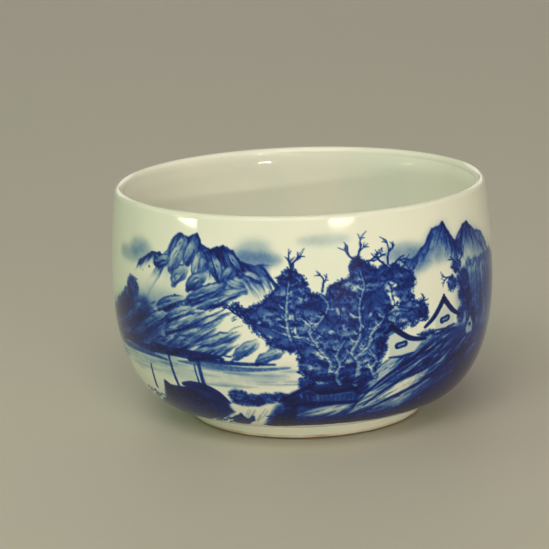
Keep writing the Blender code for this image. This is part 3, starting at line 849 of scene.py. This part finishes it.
def rockySlope():
    area([(-6, 38.2), (0, 34.6), (6, 34.0), (12, 32.4), (17, 30.2), (22, 29.4), (30, 26.4), (38, 26.0), (46, 28.5),
          (55, 30.0), (63, 33.2), (69, 37.4), (74, 41.0), (80, 46.9), (-11, 46.9)], 0.8, 0.4, 1.0)
    rocks([(36.4, 25.6, 23.4, 29.2, 3.0, 1.5), (29.5, 26.0, 19.5, 30.2, 3.0, 1.3),
           (25.9, 27.6, 15.9, 31.8, 2.8, 1.15), (22.4, 27.6, 13.0, 34.0, 2.8, 0.5),
           (35.0, 28.2, 25.0, 31.8, 3.0, 1.4), (43.2, 28.8, 32.3, 32.7, 3.4, 1.6),
           (27.7, 30.5, 16.8, 35.0, 3.2, 1.0), (20.5, 30.9, 10.5, 37.3, 3.0, 0.6),
           (33.2, 32.4, 22.3, 36.2, 3.2, 1.2), (25.9, 34.2, 15.0, 38.9, 3.0, 0.55),
           (32.3, 36.2, 19.5, 40.5, 3.4, 0.5), (16.8, 36.4, 5.9, 40.0, 3.0, 1.0),
           (13.2, 38.4, -1.4, 41.2, 2.8, 0.5), (25.0, 39.1, 11.4, 42.7, 3.2, 0.9),
           (38.6, 36.0, 27.7, 40.0, 3.4, 1.2), (47.7, 31.4, 36.8, 36.4, 3.8, 1.4),
           (5.9, 40.9, -4.2, 43.8, 3.0, 1.3), (34.0, 40.5, 20.0, 44.3, 3.4, 1.4), (20.0, 42.0, 4.0, 45.3, 3.2, 1.4),
           (48.0, 37.0, 34.0, 42.6, 4.0, 1.4), (58.0, 33.6, 46.0, 39.6, 4.0, 1.4),
           (8.0, 43.0, -8.0, 45.9, 3.0, 1.5), (60.0, 39.0, 46.0, 44.4, 4.0, 1.3),
           (64.0, 34.0, 54.0, 38.6, 3.4, 1.2), (70.0, 37.6, 60.0, 42.4, 3.4, 1.1),
           (76.0, 41.6, 66.0, 45.6, 3.0, 1.0), (56.0, 29.4, 47.0, 33.2, 3.4, 1.2)], 0.10, 1.3, 1.5)
    for low, high, top, foot, count, lifted in ((22, 44, 27.4, 33.6, 60, False), (28, 48, 33.5, 40.5, 60, False),
                                                (14, 30, 34.2, 38.8, 50, True), (6, 24, 38.8, 42.0, 30, True),
                                                (16, 34, 28.0, 32.5, 22, True)):
        for _ in range(count):
            a, d, length = brush.uniform(low, high), brush.uniform(top, foot), brush.uniform(2.0, 6.0)
            fold = [(a, d), (a - length * 0.5, d + length * brush.uniform(0.14, 0.3)),
                    (a - length, d + length * 0.46)]
            stroke(smoothed(fold, 4), (0.1, brush.uniform(0.35, 0.95), 0.14),
                   brush.uniform(0.3, 0.75) * (1.0 if lifted else 1.3), 0.16, lift=lifted, dry=0.35)
    for _ in range(110):
        a, d = brush.uniform(10, 40), brush.uniform(30, 42)
        length = brush.uniform(1.5, 4.5)
        stroke([(a, d), (a - length * 0.5, d + length * 0.26), (a - length, d + length * 0.6)], (0.12, 0.34, 0.12),
               brush.uniform(0.1, 0.45), 0.12, dry=0.3)
    area([(27, 40), (31, 35.5), (37, 32.5), (48, 31), (60, 34), (70, 42.5), (75, 46.9), (22, 46.9)], 0.7, 2.0, 0.6)
    area([(24, 41.5), (34, 37.5), (46, 35), (56, 35), (64, 38.5), (70, 42.5), (75, 46.9), (24, 46.9)], 1.1, 1.4, 0.7)
    area([(-10.5, 46.9), (-6, 43.4), (2, 42.6), (12, 42.4), (22, 42.6), (32, 42.4), (40, 42), (60, 42), (68, 44),
          (72, 46.9)], 1.2, 0.7, 0.6)
    clumps([(0.4, 33.2, 4.4, 3.4), (7.4, 32.6, 4.2, 3.0), (-3.4, 37.0, 4.4, 2.6), (4.6, 35.6, 6.4, 2.0),
            (11.6, 35.2, 3.8, 3.0)], 7, 0.5, 0.75, 0.7)
    area([(-5.4, 37.4), (-2.6, 35.2), (1.0, 33.8), (5.0, 33.4), (10.2, 34.2), (12.0, 36.4), (10.6, 38.6), (3.0, 39.2),
          (-4.6, 39.0)], 0.95, 0.2, 0.6)
    area([(1.2, 36.2), (10.4, 35.8), (10.6, 38.2), (1.6, 38.7)], 0.42, 0.15, 0.3, lift=True)
    for line in [[(-5.8, 37.6), (-3.2, 36.2), (0.4, 34.0), (1.6, 33.5)], [(0.6, 34.2), (3.0, 35.6), (10.8, 35.0)],
                 [(-4.6, 38.8), (0.6, 38.2), (6.4, 38.4), (11.2, 38.6)]]:
        stroke(smoothed(line, 6), (0.6, 1.0, 0.7), 1.2, 0.12)
    stroke(smoothed([(-3.4, 36.8), (0.4, 35.0), (3.4, 36.3), (10.4, 35.9)], 6), (0.15, 0.35, 0.15), 0.45, 0.1,
           lift=True)
    for k in range(9):
        a = 2.0 + k * 0.95
        stroke([(a, 36.3), (a, 38.4)], (0.16, 0.16), 0.55, 0.1)
    for a, tall, lifted in ((-1.1, 0.7, 0.7), (0.2, 1.5, 0.5), (2.3, 0.9, 0.35), (5.2, 0.6, 0.25)):
        stroke([(a, 36.0), (a + 0.2, 36.0 + tall)], (0.45, 0.3), lifted, 0.14, lift=True)
    # the slope's long bare faces, then the dark clefts between them
    for line, width, amount in (([(27.8, 33.2), (22.6, 35.2), (17.0, 38.0)], 1.5, 0.8),
                                ([(26.4, 35.6), (21.0, 37.4), (15.2, 39.9)], 1.2, 0.75),
                                ([(23.0, 33.8), (18.6, 35.6), (14.2, 37.6)], 1.1, 0.7),
                                ([(19.8, 31.0), (16.2, 32.8), (12.4, 36.0)], 1.0, 0.6),
                                ([(29.0, 29.6), (24.8, 31.0), (20.6, 33.0)], 0.8, 0.45),
                                ([(9.8, 39.6), (5.2, 40.4), (0.4, 41.7)], 1.1, 0.7),
                                ([(15.8, 38.0), (12.6, 39.2), (9.4, 41.2)], 1.0, 0.7)):
        for _ in range(5):
            slip = brush.gauss(0, width * 0.42)
            stroke(smoothed([(a + brush.gauss(0, 0.6), d + slip) for a, d in line], 5),
                   (0.08, width * brush.uniform(0.3, 0.55), 0.1), amount * brush.uniform(0.5, 1.0), 0.12,
                   lift=True, dry=0.4)
    for line, width in (([(30.0, 26.8), (24.6, 29.6), (18.4, 32.4), (13.6, 36.0), (9.8, 40.4)], 0.8),
                        ([(28.6, 31.2), (22.4, 33.8), (16.6, 36.8), (12.6, 40.0)], 0.7),
                        ([(32.0, 33.4), (25.4, 36.7), (18.2, 39.2), (13.4, 41.6)], 0.8),
                        ([(24.2, 31.0), (19.0, 33.4), (15.6, 35.4)], 0.5),
                        ([(34.0, 30.0), (28.0, 33.0), (22.0, 34.4)], 0.6)):
        stroke(smoothed(line, 6), (0.2, width, width * 0.8, 0.2), 1.3, 0.14, dry=0.25)
    for _ in range(90):
        a, d = brush.uniform(-9, 58), brush.uniform(41.5, 46.4)
        dab(a, d, brush.uniform(0.8, 2.4), brush.uniform(0.4, 0.7), brush.uniform(-0.7, 0.1), 0.55)


def paintBack():
    # round the back the shore goes on: more far peaks, open water with sails, and a wooded point
    area([(56, 17), (64, 20), (72, 24), (78, 28), (80, 31), (56, 31.5)], 0.4, 1.0, 0.9)
    rocks([(56 + k * 2.6, 21.5 + k * 0.9 + (k % 3) * 1.6, 63 + k * 2.6, 25.0 + k * 0.75 + (k % 3) * 1.3, 3.2,
            0.7 + 0.15 * (k % 3)) for k in range(8)], 0.16, 0.95, 1.1)
    clumps([(60, 21, 5, 4), (64.5, 23.4, 5, 4), (69, 26.2, 5.4, 3.6), (74, 28.8, 5, 2.6)], 6, 0.55, 0.6, 0.5)
    area([(56, 46.9), (56, 36), (64, 35), (72, 38), (82, 41), (92, 43.6), (100, 46.9)], 0.85, 0.6, 0.7)
    rocks([(54 + k * 3.1, 35.4 + k * 0.75 + (k % 3) * 2.6, 63 + k * 3.1, 38.6 + k * 0.6 + (k % 3) * 2.2, 3.6,
            0.6 + 0.3 * (k % 3)) for k in range(11)], 0.14, 1.0, 1.2)
    clumps([(62, 34.4, 5.4, 3.4), (68, 36.4, 5.0, 3.0), (77, 39.4, 5.4, 2.6),
            (86, 42.0, 5.0, 2.4)], 6, 0.5, 0.65, 0.55)
    cloudWash(66, 9, 14, 4, 0.2)
    peaks([(72, 13.2), (77, 11.4), (81, 8.6), (84, 6.2), (86.5, 4.6), (88.5, 6.6), (91, 8.0), (94, 7.0), (97.5, 9.2),
           (103, 11.2), (109, 12.6)], 8.0, 0.58, 90, 1.0, 26)
    peaks([(86, 8.4), (90, 7.4), (93.6, 6.8), (97, 9.0), (101, 11.0)], 5.4, 0.6, 36, 1.1, 14)
    rocks([(86.4, 5.4, 83.0, 10.6, 2.8, 0.7), (87.6, 7.0, 89.6, 12.4, 2.8, 0.9), (84.2, 8.0, 79.6, 12.2, 2.6, 1.0),
           (93.8, 7.6, 91.0, 12.4, 2.8, 0.8), (95.0, 8.4, 99.0, 12.4, 2.6, 1.1), (89.0, 10.6, 85.0, 14.6, 2.8, 0.8)],
          0.16, 0.66, 0.85)
    cloudWash(112, 9.4, 14, 4.4, 0.24)
    peaks([(104, 17.6), (109, 16.4), (114, 15.6), (119, 16.8), (125, 18.0)], 3.4, 0.34, 40, 0.8, 10)
    boat(94, 26.4, 4.6, True)
    boat(101.5, 29.0, 3.8, True, 0.9)
    boat(88.4, 31.4, 3.4)
    boat(111, 25.0, 2.8, True, 0.6)
    water(80, 128, 22.5, 34, 150, 0.15)
    area([(78, 23), (128, 22.5), (132, 34), (92, 38), (78, 31)], 0.07, 1.2, 0.8)
    for line in [[(100, 22.2), (107, 21.6), (116, 22.2), (124, 21.8)], [(122, 23.4), (130, 22.6), (138, 23.4)]]:
        stroke(smoothed(line, 6), (0.2, 0.7, 0.5, 0.2), 0.42, 0.2, dry=0.4)
    paintFarTurn()


def paintFarTurn():
    # the wooded point and its peaks, which lead round to the far shore of the front
    peaks([(120, 12.8), (125, 11.0), (130, 8.4), (134, 5.4), (136, 4.2), (138.6, 6.2), (142, 8.6), (146, 7.6),
           (150, 9.4), (156, 11.4), (163, 13.0)], 8.6, 0.6, 100, 1.0, 26)
    rocks([(136.2, 5.2, 132.0, 10.8, 3.0, 0.7), (137.2, 6.6, 139.6, 12.4, 3.0, 0.9),
           (134.0, 8.4, 129.0, 12.6, 2.6, 1.1), (145.8, 8.2, 142.8, 13.2, 2.8, 0.8),
           (147.4, 8.8, 152.0, 13.0, 2.6, 1.1), (139.6, 10.8, 136.0, 15.2, 2.8, 0.8)], 0.16, 0.66, 0.85)
    rocks([(137 + k * 3.0, 19.6 + k * 0.62 + (k % 3) * 2.0, 145 + k * 3.0, 23.2 + k * 0.4 + (k % 3) * 1.7, 3.4,
            0.65 + 0.25 * (k % 3)) for k in range(12)], 0.14, 0.98, 1.15)
    area([(138, 21), (146, 19), (156, 22), (168, 25.4), (178, 28.6), (136, 28.8), (132, 26)], 0.35, 1.0, 0.9)
    clumps([(138.5, 20.4, 5, 4.4), (143.4, 17.6, 6, 5.4), (148.6, 19.0, 6, 5.0), (153.6, 21.4, 5.6, 4.2),
            (134.4, 23.6, 4.6, 3.6), (159, 23.6, 5.4, 3.4), (145.6, 23.2, 8, 4.6),
            (165, 26, 5, 2.6)], 7, 0.58, 0.62, 0.5)
    trunk([(145.4, 29), (144.8, 26), (146.0, 23), (144.6, 20), (145.4, 16.6)], (1.0, 0.8, 0.6, 0.35))
    trunk([(145.4, 24.6), (148, 22.6), (150.4, 20.8), (153, 20.6)], (0.7, 0.5, 0.3))
    twigs([(143, 15.6, -0.2, 3.2), (144.4, 15.6, 0.6, 3.0), (149, 17.2, 0.4, 2.6),
           (134, 22.6, -1.1, 2.6)], 0.4, 1.0)
    cottage((160.4, 23.4), (156.4, 26.2), (165.4, 27.0), [(158.2, 26.0), (160.6, 24.4), (163.2, 26.4), (163.0, 28.2),
                                                         (158.4, 28.3)], (160.8, 26.7))
    for line in [[(130, 28.6), (142, 29.2), (156, 28.9), (170, 29.4), (182, 29.0)],
                 [(136, 30.4), (150, 30.2), (164, 30.7)]]:
        stroke(smoothed(line, 6), (0.3, 0.9, 0.7, 0.3), 0.75, 0.22, dry=0.35)
    water(126, 196, 30.0, 36.5, 150, 0.16)
    boat(172, 33.6, 4.2)
    boat(181.5, 31.8, 3.4, True, 0.8)
    area([(112, 46.9), (120, 43), (130, 40.4), (140, 39), (150, 40.2), (160, 42.4), (176, 44.6), (196, 46.9)],
         0.95, 0.6, 0.6)
    rocks([(118 + k * 4.2, 42.0 - 2.2 * math.sin(k / 9 * math.pi) + (k % 2) * 2.0, 127 + k * 4.2,
            44.4 - 1.6 * math.sin(k / 9 * math.pi) + (k % 2) * 1.2, 3.4, 0.7 + 0.4 * (k % 2)) for k in range(10)],
          0.14, 1.0, 1.2)
    clumps([(126, 40.4, 5, 3.2), (131.6, 39.0, 5.4, 3.6), (138, 38.2, 5.0, 3.0),
            (151, 40.0, 5.0, 2.8)], 6, 0.5, 0.65, 0.55)
    area([(176, 46.9), (186, 44.4), (194, 43.8), (204, 46.9)], 0.9, 0.5, 0.6)


def paintCup():
    paintBack()
    paintFarShore()
    paintHamlet()
    paintNearBank()
    paintOldTrees()
    # the brush stops in an uneven line just above the foot, and the ground there is washed in once more
    down = np.arange(sheet["rows"])[:, None] * sheet["dot"]
    stop = 46.2 + 1.0 * (pools[0][None, :] - 0.5) + 0.4 * (blots[0][None, :] - 0.5)
    ink[:] *= np.clip((stop - down) / 0.35, 0, 1)
    return 1 - np.exp(-1.25 * np.clip(ink * (0.86 + 0.28 * grain), 0, None))


def linearColour(code):
    # an sRGB hex colour as the linear numbers that shaders use
    values = [int(code[i:i + 2], 16) / 255 for i in (1, 3, 5)]
    return tuple(v / 12.92 if v <= 0.04045 else ((v + 0.055) / 1.055) ** 2.4 for v in values) + (1.0,)


def newMaterial(name):
    material = bpy.data.materials.new(name)
    material.use_nodes = True
    material.node_tree.nodes.clear()
    return material, material.node_tree


def finishMaterial(tree, settings, bump=None):
    shader = addNode(tree, "ShaderNodeBsdfPrincipled", {}, settings)
    if bump:
        tree.links.new(bump, shader.inputs["Normal"])
    addNode(tree, "ShaderNodeOutputMaterial", {}, {"Surface": shader.outputs[0]})


glaze = {
    "cream": "#E7E9DD",          # clear glaze over white porcelain
    "cool": "#DEE6DA",           # where it ran thicker, iron in it gives a faint green
    "innerCream": "#F2EFE6",     # thinner and whiter in the hollow
    "innerCool": "#E4EBE2",
    "roughness": 0.055,
    "ior": 1.5,
    "specular": 0.42,
    "drift": 38.0,               # patches of the faint green about 26 mm wide
    "cells": 210.0,              # one chance of an iron speck every 5 mm
    "speck": "#8C7B5A",
    "swell": 110.0,              # slow waves about 9 mm long, as a poured glaze sets
    "orangePeel": 900.0,         # about 1.1 mm from ripple to ripple
    "relief": 0.00003,
}


def glazeGround(tree, cream, cool):
    # the glazed ground's colour, its drifting tint and its rare iron specks; returns colour, bump and place
    place = addNode(tree, "ShaderNodeTexCoord").outputs["Object"]
    drift = addNode(tree, "ShaderNodeTexNoise", {}, {"Vector": place, "Scale": glaze["drift"], "Detail": 3.0,
                                                     "Roughness": 0.55})
    share = addNode(tree, "ShaderNodeMapRange", {}, {"Value": drift.outputs["Fac"], "From Min": 0.35,
                                                     "From Max": 0.68})
    ground = addNode(tree, "ShaderNodeMix", {"data_type": "RGBA"}, {0: share.outputs[0], 6: linearColour(cream),
                                                                    7: linearColour(cool)})
    cells = addNode(tree, "ShaderNodeTexVoronoi", {}, {"Vector": place, "Scale": glaze["cells"], "Randomness": 1.0})
    speck = addNode(tree, "ShaderNodeMapRange", {}, {"Value": cells.outputs["Distance"], "From Min": 0.025,
                                                     "From Max": 0.045, "To Min": 0.45, "To Max": 0.0})
    specked = addNode(tree, "ShaderNodeMix", {"data_type": "RGBA"},
                      {0: speck.outputs[0], 6: ground.outputs[2], 7: linearColour(glaze["speck"])})
    peel = addNode(tree, "ShaderNodeTexNoise", {}, {"Vector": place, "Scale": glaze["orangePeel"], "Detail": 1.0})
    swell = addNode(tree, "ShaderNodeTexNoise", {}, {"Vector": place, "Scale": glaze["swell"], "Detail": 1.0})
    both = addNode(tree, "ShaderNodeMath", {"operation": "MULTIPLY_ADD"}, {0: swell.outputs["Fac"], 1: 5.0,
                                                                           2: peel.outputs["Fac"]})
    bump = addNode(tree, "ShaderNodeBump", {}, {"Height": both.outputs[0], "Strength": 0.16,
                                                "Distance": glaze["relief"]})
    return specked.outputs[2], bump.outputs[0], place


def clearGlaze():
    # plain transparent glaze over white porcelain: deep gloss, faint ripples, a cream ground that drifts to green
    material, tree = newMaterial("clearGlazeOnPorcelain")
    colour, bump, _ = glazeGround(tree, glaze["innerCream"], glaze["innerCool"])
    finishMaterial(tree, {"Base Color": colour, "Roughness": glaze["roughness"], "IOR": glaze["ior"],
                          "Specular IOR Level": glaze["specular"]}, bump)
    return material


cobalt = [
    (0.00, "#FFFFFF"), (0.10, "#C6D6E4"), (0.26, "#7FA2D0"), (0.44, "#3D68BA"), (0.60, "#1C43A6"),
    (0.76, "#0B2684"), (0.90, "#06155A"), (1.00, "#030A34"),
]
inkGrain = 2600.0                # ground cobalt clots about 0.4 mm apart


def cobaltUnderGlaze():
    # cobalt brushed on the raw clay under the same glaze: pale washes to heaped navy, a little blurred by the melt
    material, tree = newMaterial("cobaltUnderClearGlaze")
    colour, bump, place = glazeGround(tree, glaze["cream"], glaze["cool"])
    pigment = addNode(tree, "ShaderNodeAttribute", {"attribute_name": "pigment"}).outputs["Fac"]
    heap = addNode(tree, "ShaderNodeTexNoise", {}, {"Vector": place, "Scale": inkGrain, "Detail": 2.0,
                                                    "Roughness": 0.6})
    uneven = addNode(tree, "ShaderNodeMapRange", {}, {"Value": heap.outputs["Fac"], "From Min": 0.3, "From Max": 0.7,
                                                      "To Min": 0.93, "To Max": 1.06})
    depth = addNode(tree, "ShaderNodeMath", {"operation": "MULTIPLY"}, {0: pigment, 1: uneven.outputs[0]})
    ramp = addNode(tree, "ShaderNodeValToRGB", {}, {0: depth.outputs[0]})
    stops = ramp.color_ramp.elements
    stops[0].color, stops[1].color = linearColour(cobalt[0][1]), linearColour(cobalt[-1][1])
    for position, code in cobalt[1:-1]:
        stops.new(position).color = linearColour(code)
    stained = addNode(tree, "ShaderNodeMix", {"data_type": "RGBA", "blend_type": "MULTIPLY"},
                      {0: 1.0, 6: colour, 7: ramp.outputs[0]})
    finishMaterial(tree, {"Base Color": stained.outputs[2], "Roughness": glaze["roughness"], "IOR": glaze["ior"],
                          "Specular IOR Level": glaze["specular"]}, bump)
    return material


bareClay = {
    "pale": "#DDD5C4",
    "toasted": "#C4AE8C",
    "patches": 160.0,            # about 6 mm
    "sand": 3200.0,              # about 0.3 mm, coarser than the real grit so that it shows
    "turning": 700.0,            # the turning tool's chatter, about 1.4 mm
    "relief": 0.00004,
    "roughness": 0.78,
}


def bareBiscuit(name):
    # fired porcelain without glaze: matt and slightly sandy, toasted where the glaze ends
    material, tree = newMaterial(name)
    place = addNode(tree, "ShaderNodeTexCoord").outputs["Object"]
    tone = addNode(tree, "ShaderNodeTexNoise", {}, {"Vector": place, "Scale": bareClay["patches"], "Detail": 4.0})
    share = addNode(tree, "ShaderNodeMapRange", {}, {"Value": tone.outputs["Fac"], "From Min": 0.4, "From Max": 0.7})
    colour = addNode(tree, "ShaderNodeMix", {"data_type": "RGBA"}, {0: share.outputs[0],
                                                                    6: linearColour(bareClay["pale"]),
                                                                    7: linearColour(bareClay["toasted"])})
    sand = addNode(tree, "ShaderNodeTexNoise", {}, {"Vector": place, "Scale": bareClay["sand"], "Detail": 3.0})
    rings = addNode(tree, "ShaderNodeTexNoise", {}, {"Vector": place, "Scale": bareClay["turning"], "Detail": 1.0})
    both = addNode(tree, "ShaderNodeMath", {"operation": "ADD"}, {0: sand.outputs["Fac"], 1: rings.outputs["Fac"]})
    bump = addNode(tree, "ShaderNodeBump", {}, {"Height": both.outputs[0], "Strength": 0.5,
                                                "Distance": bareClay["relief"]})
    finishMaterial(tree, {"Base Color": colour.outputs[2], "Roughness": bareClay["roughness"], "IOR": 1.5},
                   bump.outputs[0])
    return material


def wallDepths(heights):
    # how far down the wall from the lip each point of the outer skin lies, in millimetres
    line = outsideLine()
    down = [0.0]
    for p, q in zip(line, line[1:]):
        down.append(down[-1] + math.hypot(q[0] - p[0], q[1] - p[1]))
    start = next(i for i, p in enumerate(line) if p[1] <= cup["lipHeight"])
    tall = np.array([p[1] for p in line])
    return np.interp(-heights, -tall, np.array(down) - down[start] + 0.6)


def wrapPainting(piece, painting):
    # gives each point of the wall the pigment that the painting has at its place
    mesh = piece.data
    places = np.empty(len(mesh.vertices) * 3, dtype=np.float32)
    mesh.vertices.foreach_get("co", places)
    x, y, z = (places.reshape(-1, 3) / mm).T
    around = np.degrees(np.arctan2(x, -y)) / 360 * sheet["around"]
    column = (around / sheet["dot"]) % sheet["columns"]
    row = np.clip(wallDepths(z) / sheet["dot"], 0, sheet["rows"] - 1.001)
    c0, r0 = column.astype(int) % sheet["columns"], row.astype(int)
    c1, fc, fr = (c0 + 1) % sheet["columns"], column - np.floor(column), row - r0
    top = painting[r0, c0] * (1 - fc) + painting[r0, c1] * fc
    low = painting[r0 + 1, c0] * (1 - fc) + painting[r0 + 1, c1] * fc
    pigment = mesh.attributes.new("pigment", "FLOAT", "POINT")
    pigment.data.foreach_set("value", (top * (1 - fr) + low * fr).astype(np.float32))


potterWheel = wheelTree()
plainGlaze, paintedGlaze, biscuit = clearGlaze(), cobaltUnderGlaze(), bareBiscuit("bareFoot")

outerGlaze = {"columns": 286, "rows": 301, "skinRows": 0.93}      # one quarter of the wall
innerGlaze = {"columns": 361, "rows": 161, "skinRows": 0.85}
baseGlaze = {"columns": 241, "rows": 61, "skinRows": 0.7}
footRing = {"columns": 361, "rows": 90, "skinRows": 0.5}


def makeCoat(name, line, split, surface, node, start=0, sweep=360):
    # a coat of glaze: its skin, and its back a coat's thickness inside; the frame's node that it stands for is hidden
    closed = backedLine(line, cup["coat"])
    return turnPiece(name, closed, split, lineLength(line) / lineLength(closed), surface, node, start, sweep)


painting = paintCup()
print("painting made:", painting.shape[1], "by", painting.shape[0], "dots")
for name, start in [("outerGlazeFront", -135), ("outerGlazeRight", -45), ("outerGlazeBack", 45),
                    ("outerGlazeLeft", 135)]:
    wrapPainting(makeCoat(name, outsideLine(), outerGlaze, paintedGlaze, "outer_glaze", start, 90), painting)
makeCoat("innerGlaze", insideLine(), innerGlaze, plainGlaze, "inner_glaze")
makeCoat("baseGlaze", baseLine(), baseGlaze, plainGlaze, "base_glaze")
turnPiece("footRing", footLine(), footRing, 0.5, biscuit, "foot_ring")
for node in [n for n in bpy.data.objects if n.type == "MESH" and n.name.startswith("porcelain_bowl")]:
    node.data.materials.clear()
    node.data.materials.append(bareBiscuit("biscuitBody"))

# The stage: a pale table, soft boxes round it, and the camera.
stage = {
    "table": "#C2BEB5",
    "tableSize": 1.6,
    "tableDrop": -0.0002,        # a hair below the foot, so that the two never share a face
    "tableRoughness": 0.6,
    "camera": (0.0, -0.4492, 0.1352),
    "aim": (0.0, 0.0, 0.026),
    "lens": 143.3,
    "sensor": 36.0,
    "clip": (0.01, 20.0),
    "turnLeft": 0.737,           # degrees off the aim, as tipUp is
    "tipUp": 0.286,
    "roll": -1.84,               # degrees
    "world": "#F1E8D8",
    "worldStrength": 0.31,
}
lights = [
    # name, place, size, power in watts, colour, aim, spread in degrees; lengths are in metres
    ("windowBox", (0.65, -1.46, 0.075), (0.41, 0.038), 0.46, "#FFF4DC", (0, -0.03, 0.047), 50),   # glint under the lip
    ("transomBox", (0.65, -1.46, 0.24), (0.40, 0.03), 0.25, "#FFF4DC", (0, -0.03, 0.047), 50),    # glint in the hollow
    ("sideWindow", (-1.30, -0.27, 0.13), (0.26, 0.10), 0.05, "#F4FFC8", (-0.03, -0.02, 0.047), 50),
    ("paneBox", (-0.424, -0.16, 0.034), (0.115, 0.009), 0.0085, "#F0FFD0", (-0.024, -0.030, 0.044), 60),
    ("topBox", (-0.12, -0.72, 0.80), (0.8, 0.6), 6.1, "#FFF6E0", (0, 0, 0.03), 180),              # the main light
    ("leftBox", (-0.75, 0.12, 0.40), (0.5, 0.5), 0.85, "#38DC8C", (0, 0, 0.03), 180),             # soft green side
    ("rimBox", (0.0, 1.2, 0.42), (1.3, 0.34), 1.5, "#FFF8EC", (0, 0, 0.03), 180),
]


def makeTable():
    mesh = bpy.data.meshes.new("table")
    size, drop = stage["tableSize"], stage["tableDrop"]
    mesh.from_pydata([(-size, -size, drop), (size, -size, drop), (size, size, drop), (-size, size, drop)],
                     [], [(0, 1, 2, 3)])
    material, tree = newMaterial("paleTable")
    finishMaterial(tree, {"Base Color": linearColour(stage["table"]), "Roughness": stage["tableRoughness"]})
    mesh.materials.append(material)
    table = bpy.data.objects.new("table", mesh)
    bpy.context.scene.collection.objects.link(table)


def softBox(name, place, size, power, colour, aim, spread):
    light = bpy.data.lights.new(name, "AREA")
    light.shape = "RECTANGLE"
    light.size, light.size_y = size
    light.spread = math.radians(spread)
    light.energy = power
    light.color = linearColour(colour)[:3]
    box = bpy.data.objects.new(name, light)
    box.location = place
    box.rotation_euler = (Vector(aim) - Vector(place)).to_track_quat("-Z", "Y").to_euler()
    bpy.context.scene.collection.objects.link(box)


def makeLights():
    for light in lights:
        softBox(*light)
    world = bpy.data.worlds.new("studio")
    world.use_nodes = True
    sky = world.node_tree.nodes["Background"].inputs
    sky["Color"].default_value = linearColour(stage["world"])
    sky["Strength"].default_value = stage["worldStrength"]
    bpy.context.scene.world = world
    bpy.context.scene.view_settings.view_transform = "Standard"


def makeCamera():
    camera = bpy.data.cameras.new("camera")
    camera.lens, camera.sensor_width = stage["lens"], stage["sensor"]
    camera.clip_start, camera.clip_end = stage["clip"]
    view = bpy.data.objects.new("camera", camera)
    bpy.context.scene.collection.objects.link(view)
    look = (Vector(stage["aim"]) - Vector(stage["camera"])).to_track_quat("-Z", "Y").to_matrix()
    turn = Matrix.Rotation(math.radians(stage["roll"]), 3, "Z")
    turn = turn @ Matrix.Rotation(math.radians(stage["turnLeft"]), 3, "Y")
    turn = turn @ Matrix.Rotation(math.radians(stage["tipUp"]), 3, "X")
    view.matrix_world = Matrix.Translation(Vector(stage["camera"])) @ (look @ turn).to_4x4()
    bpy.context.scene.camera = view


makeTable()
makeLights()
makeCamera()
print("stage set")
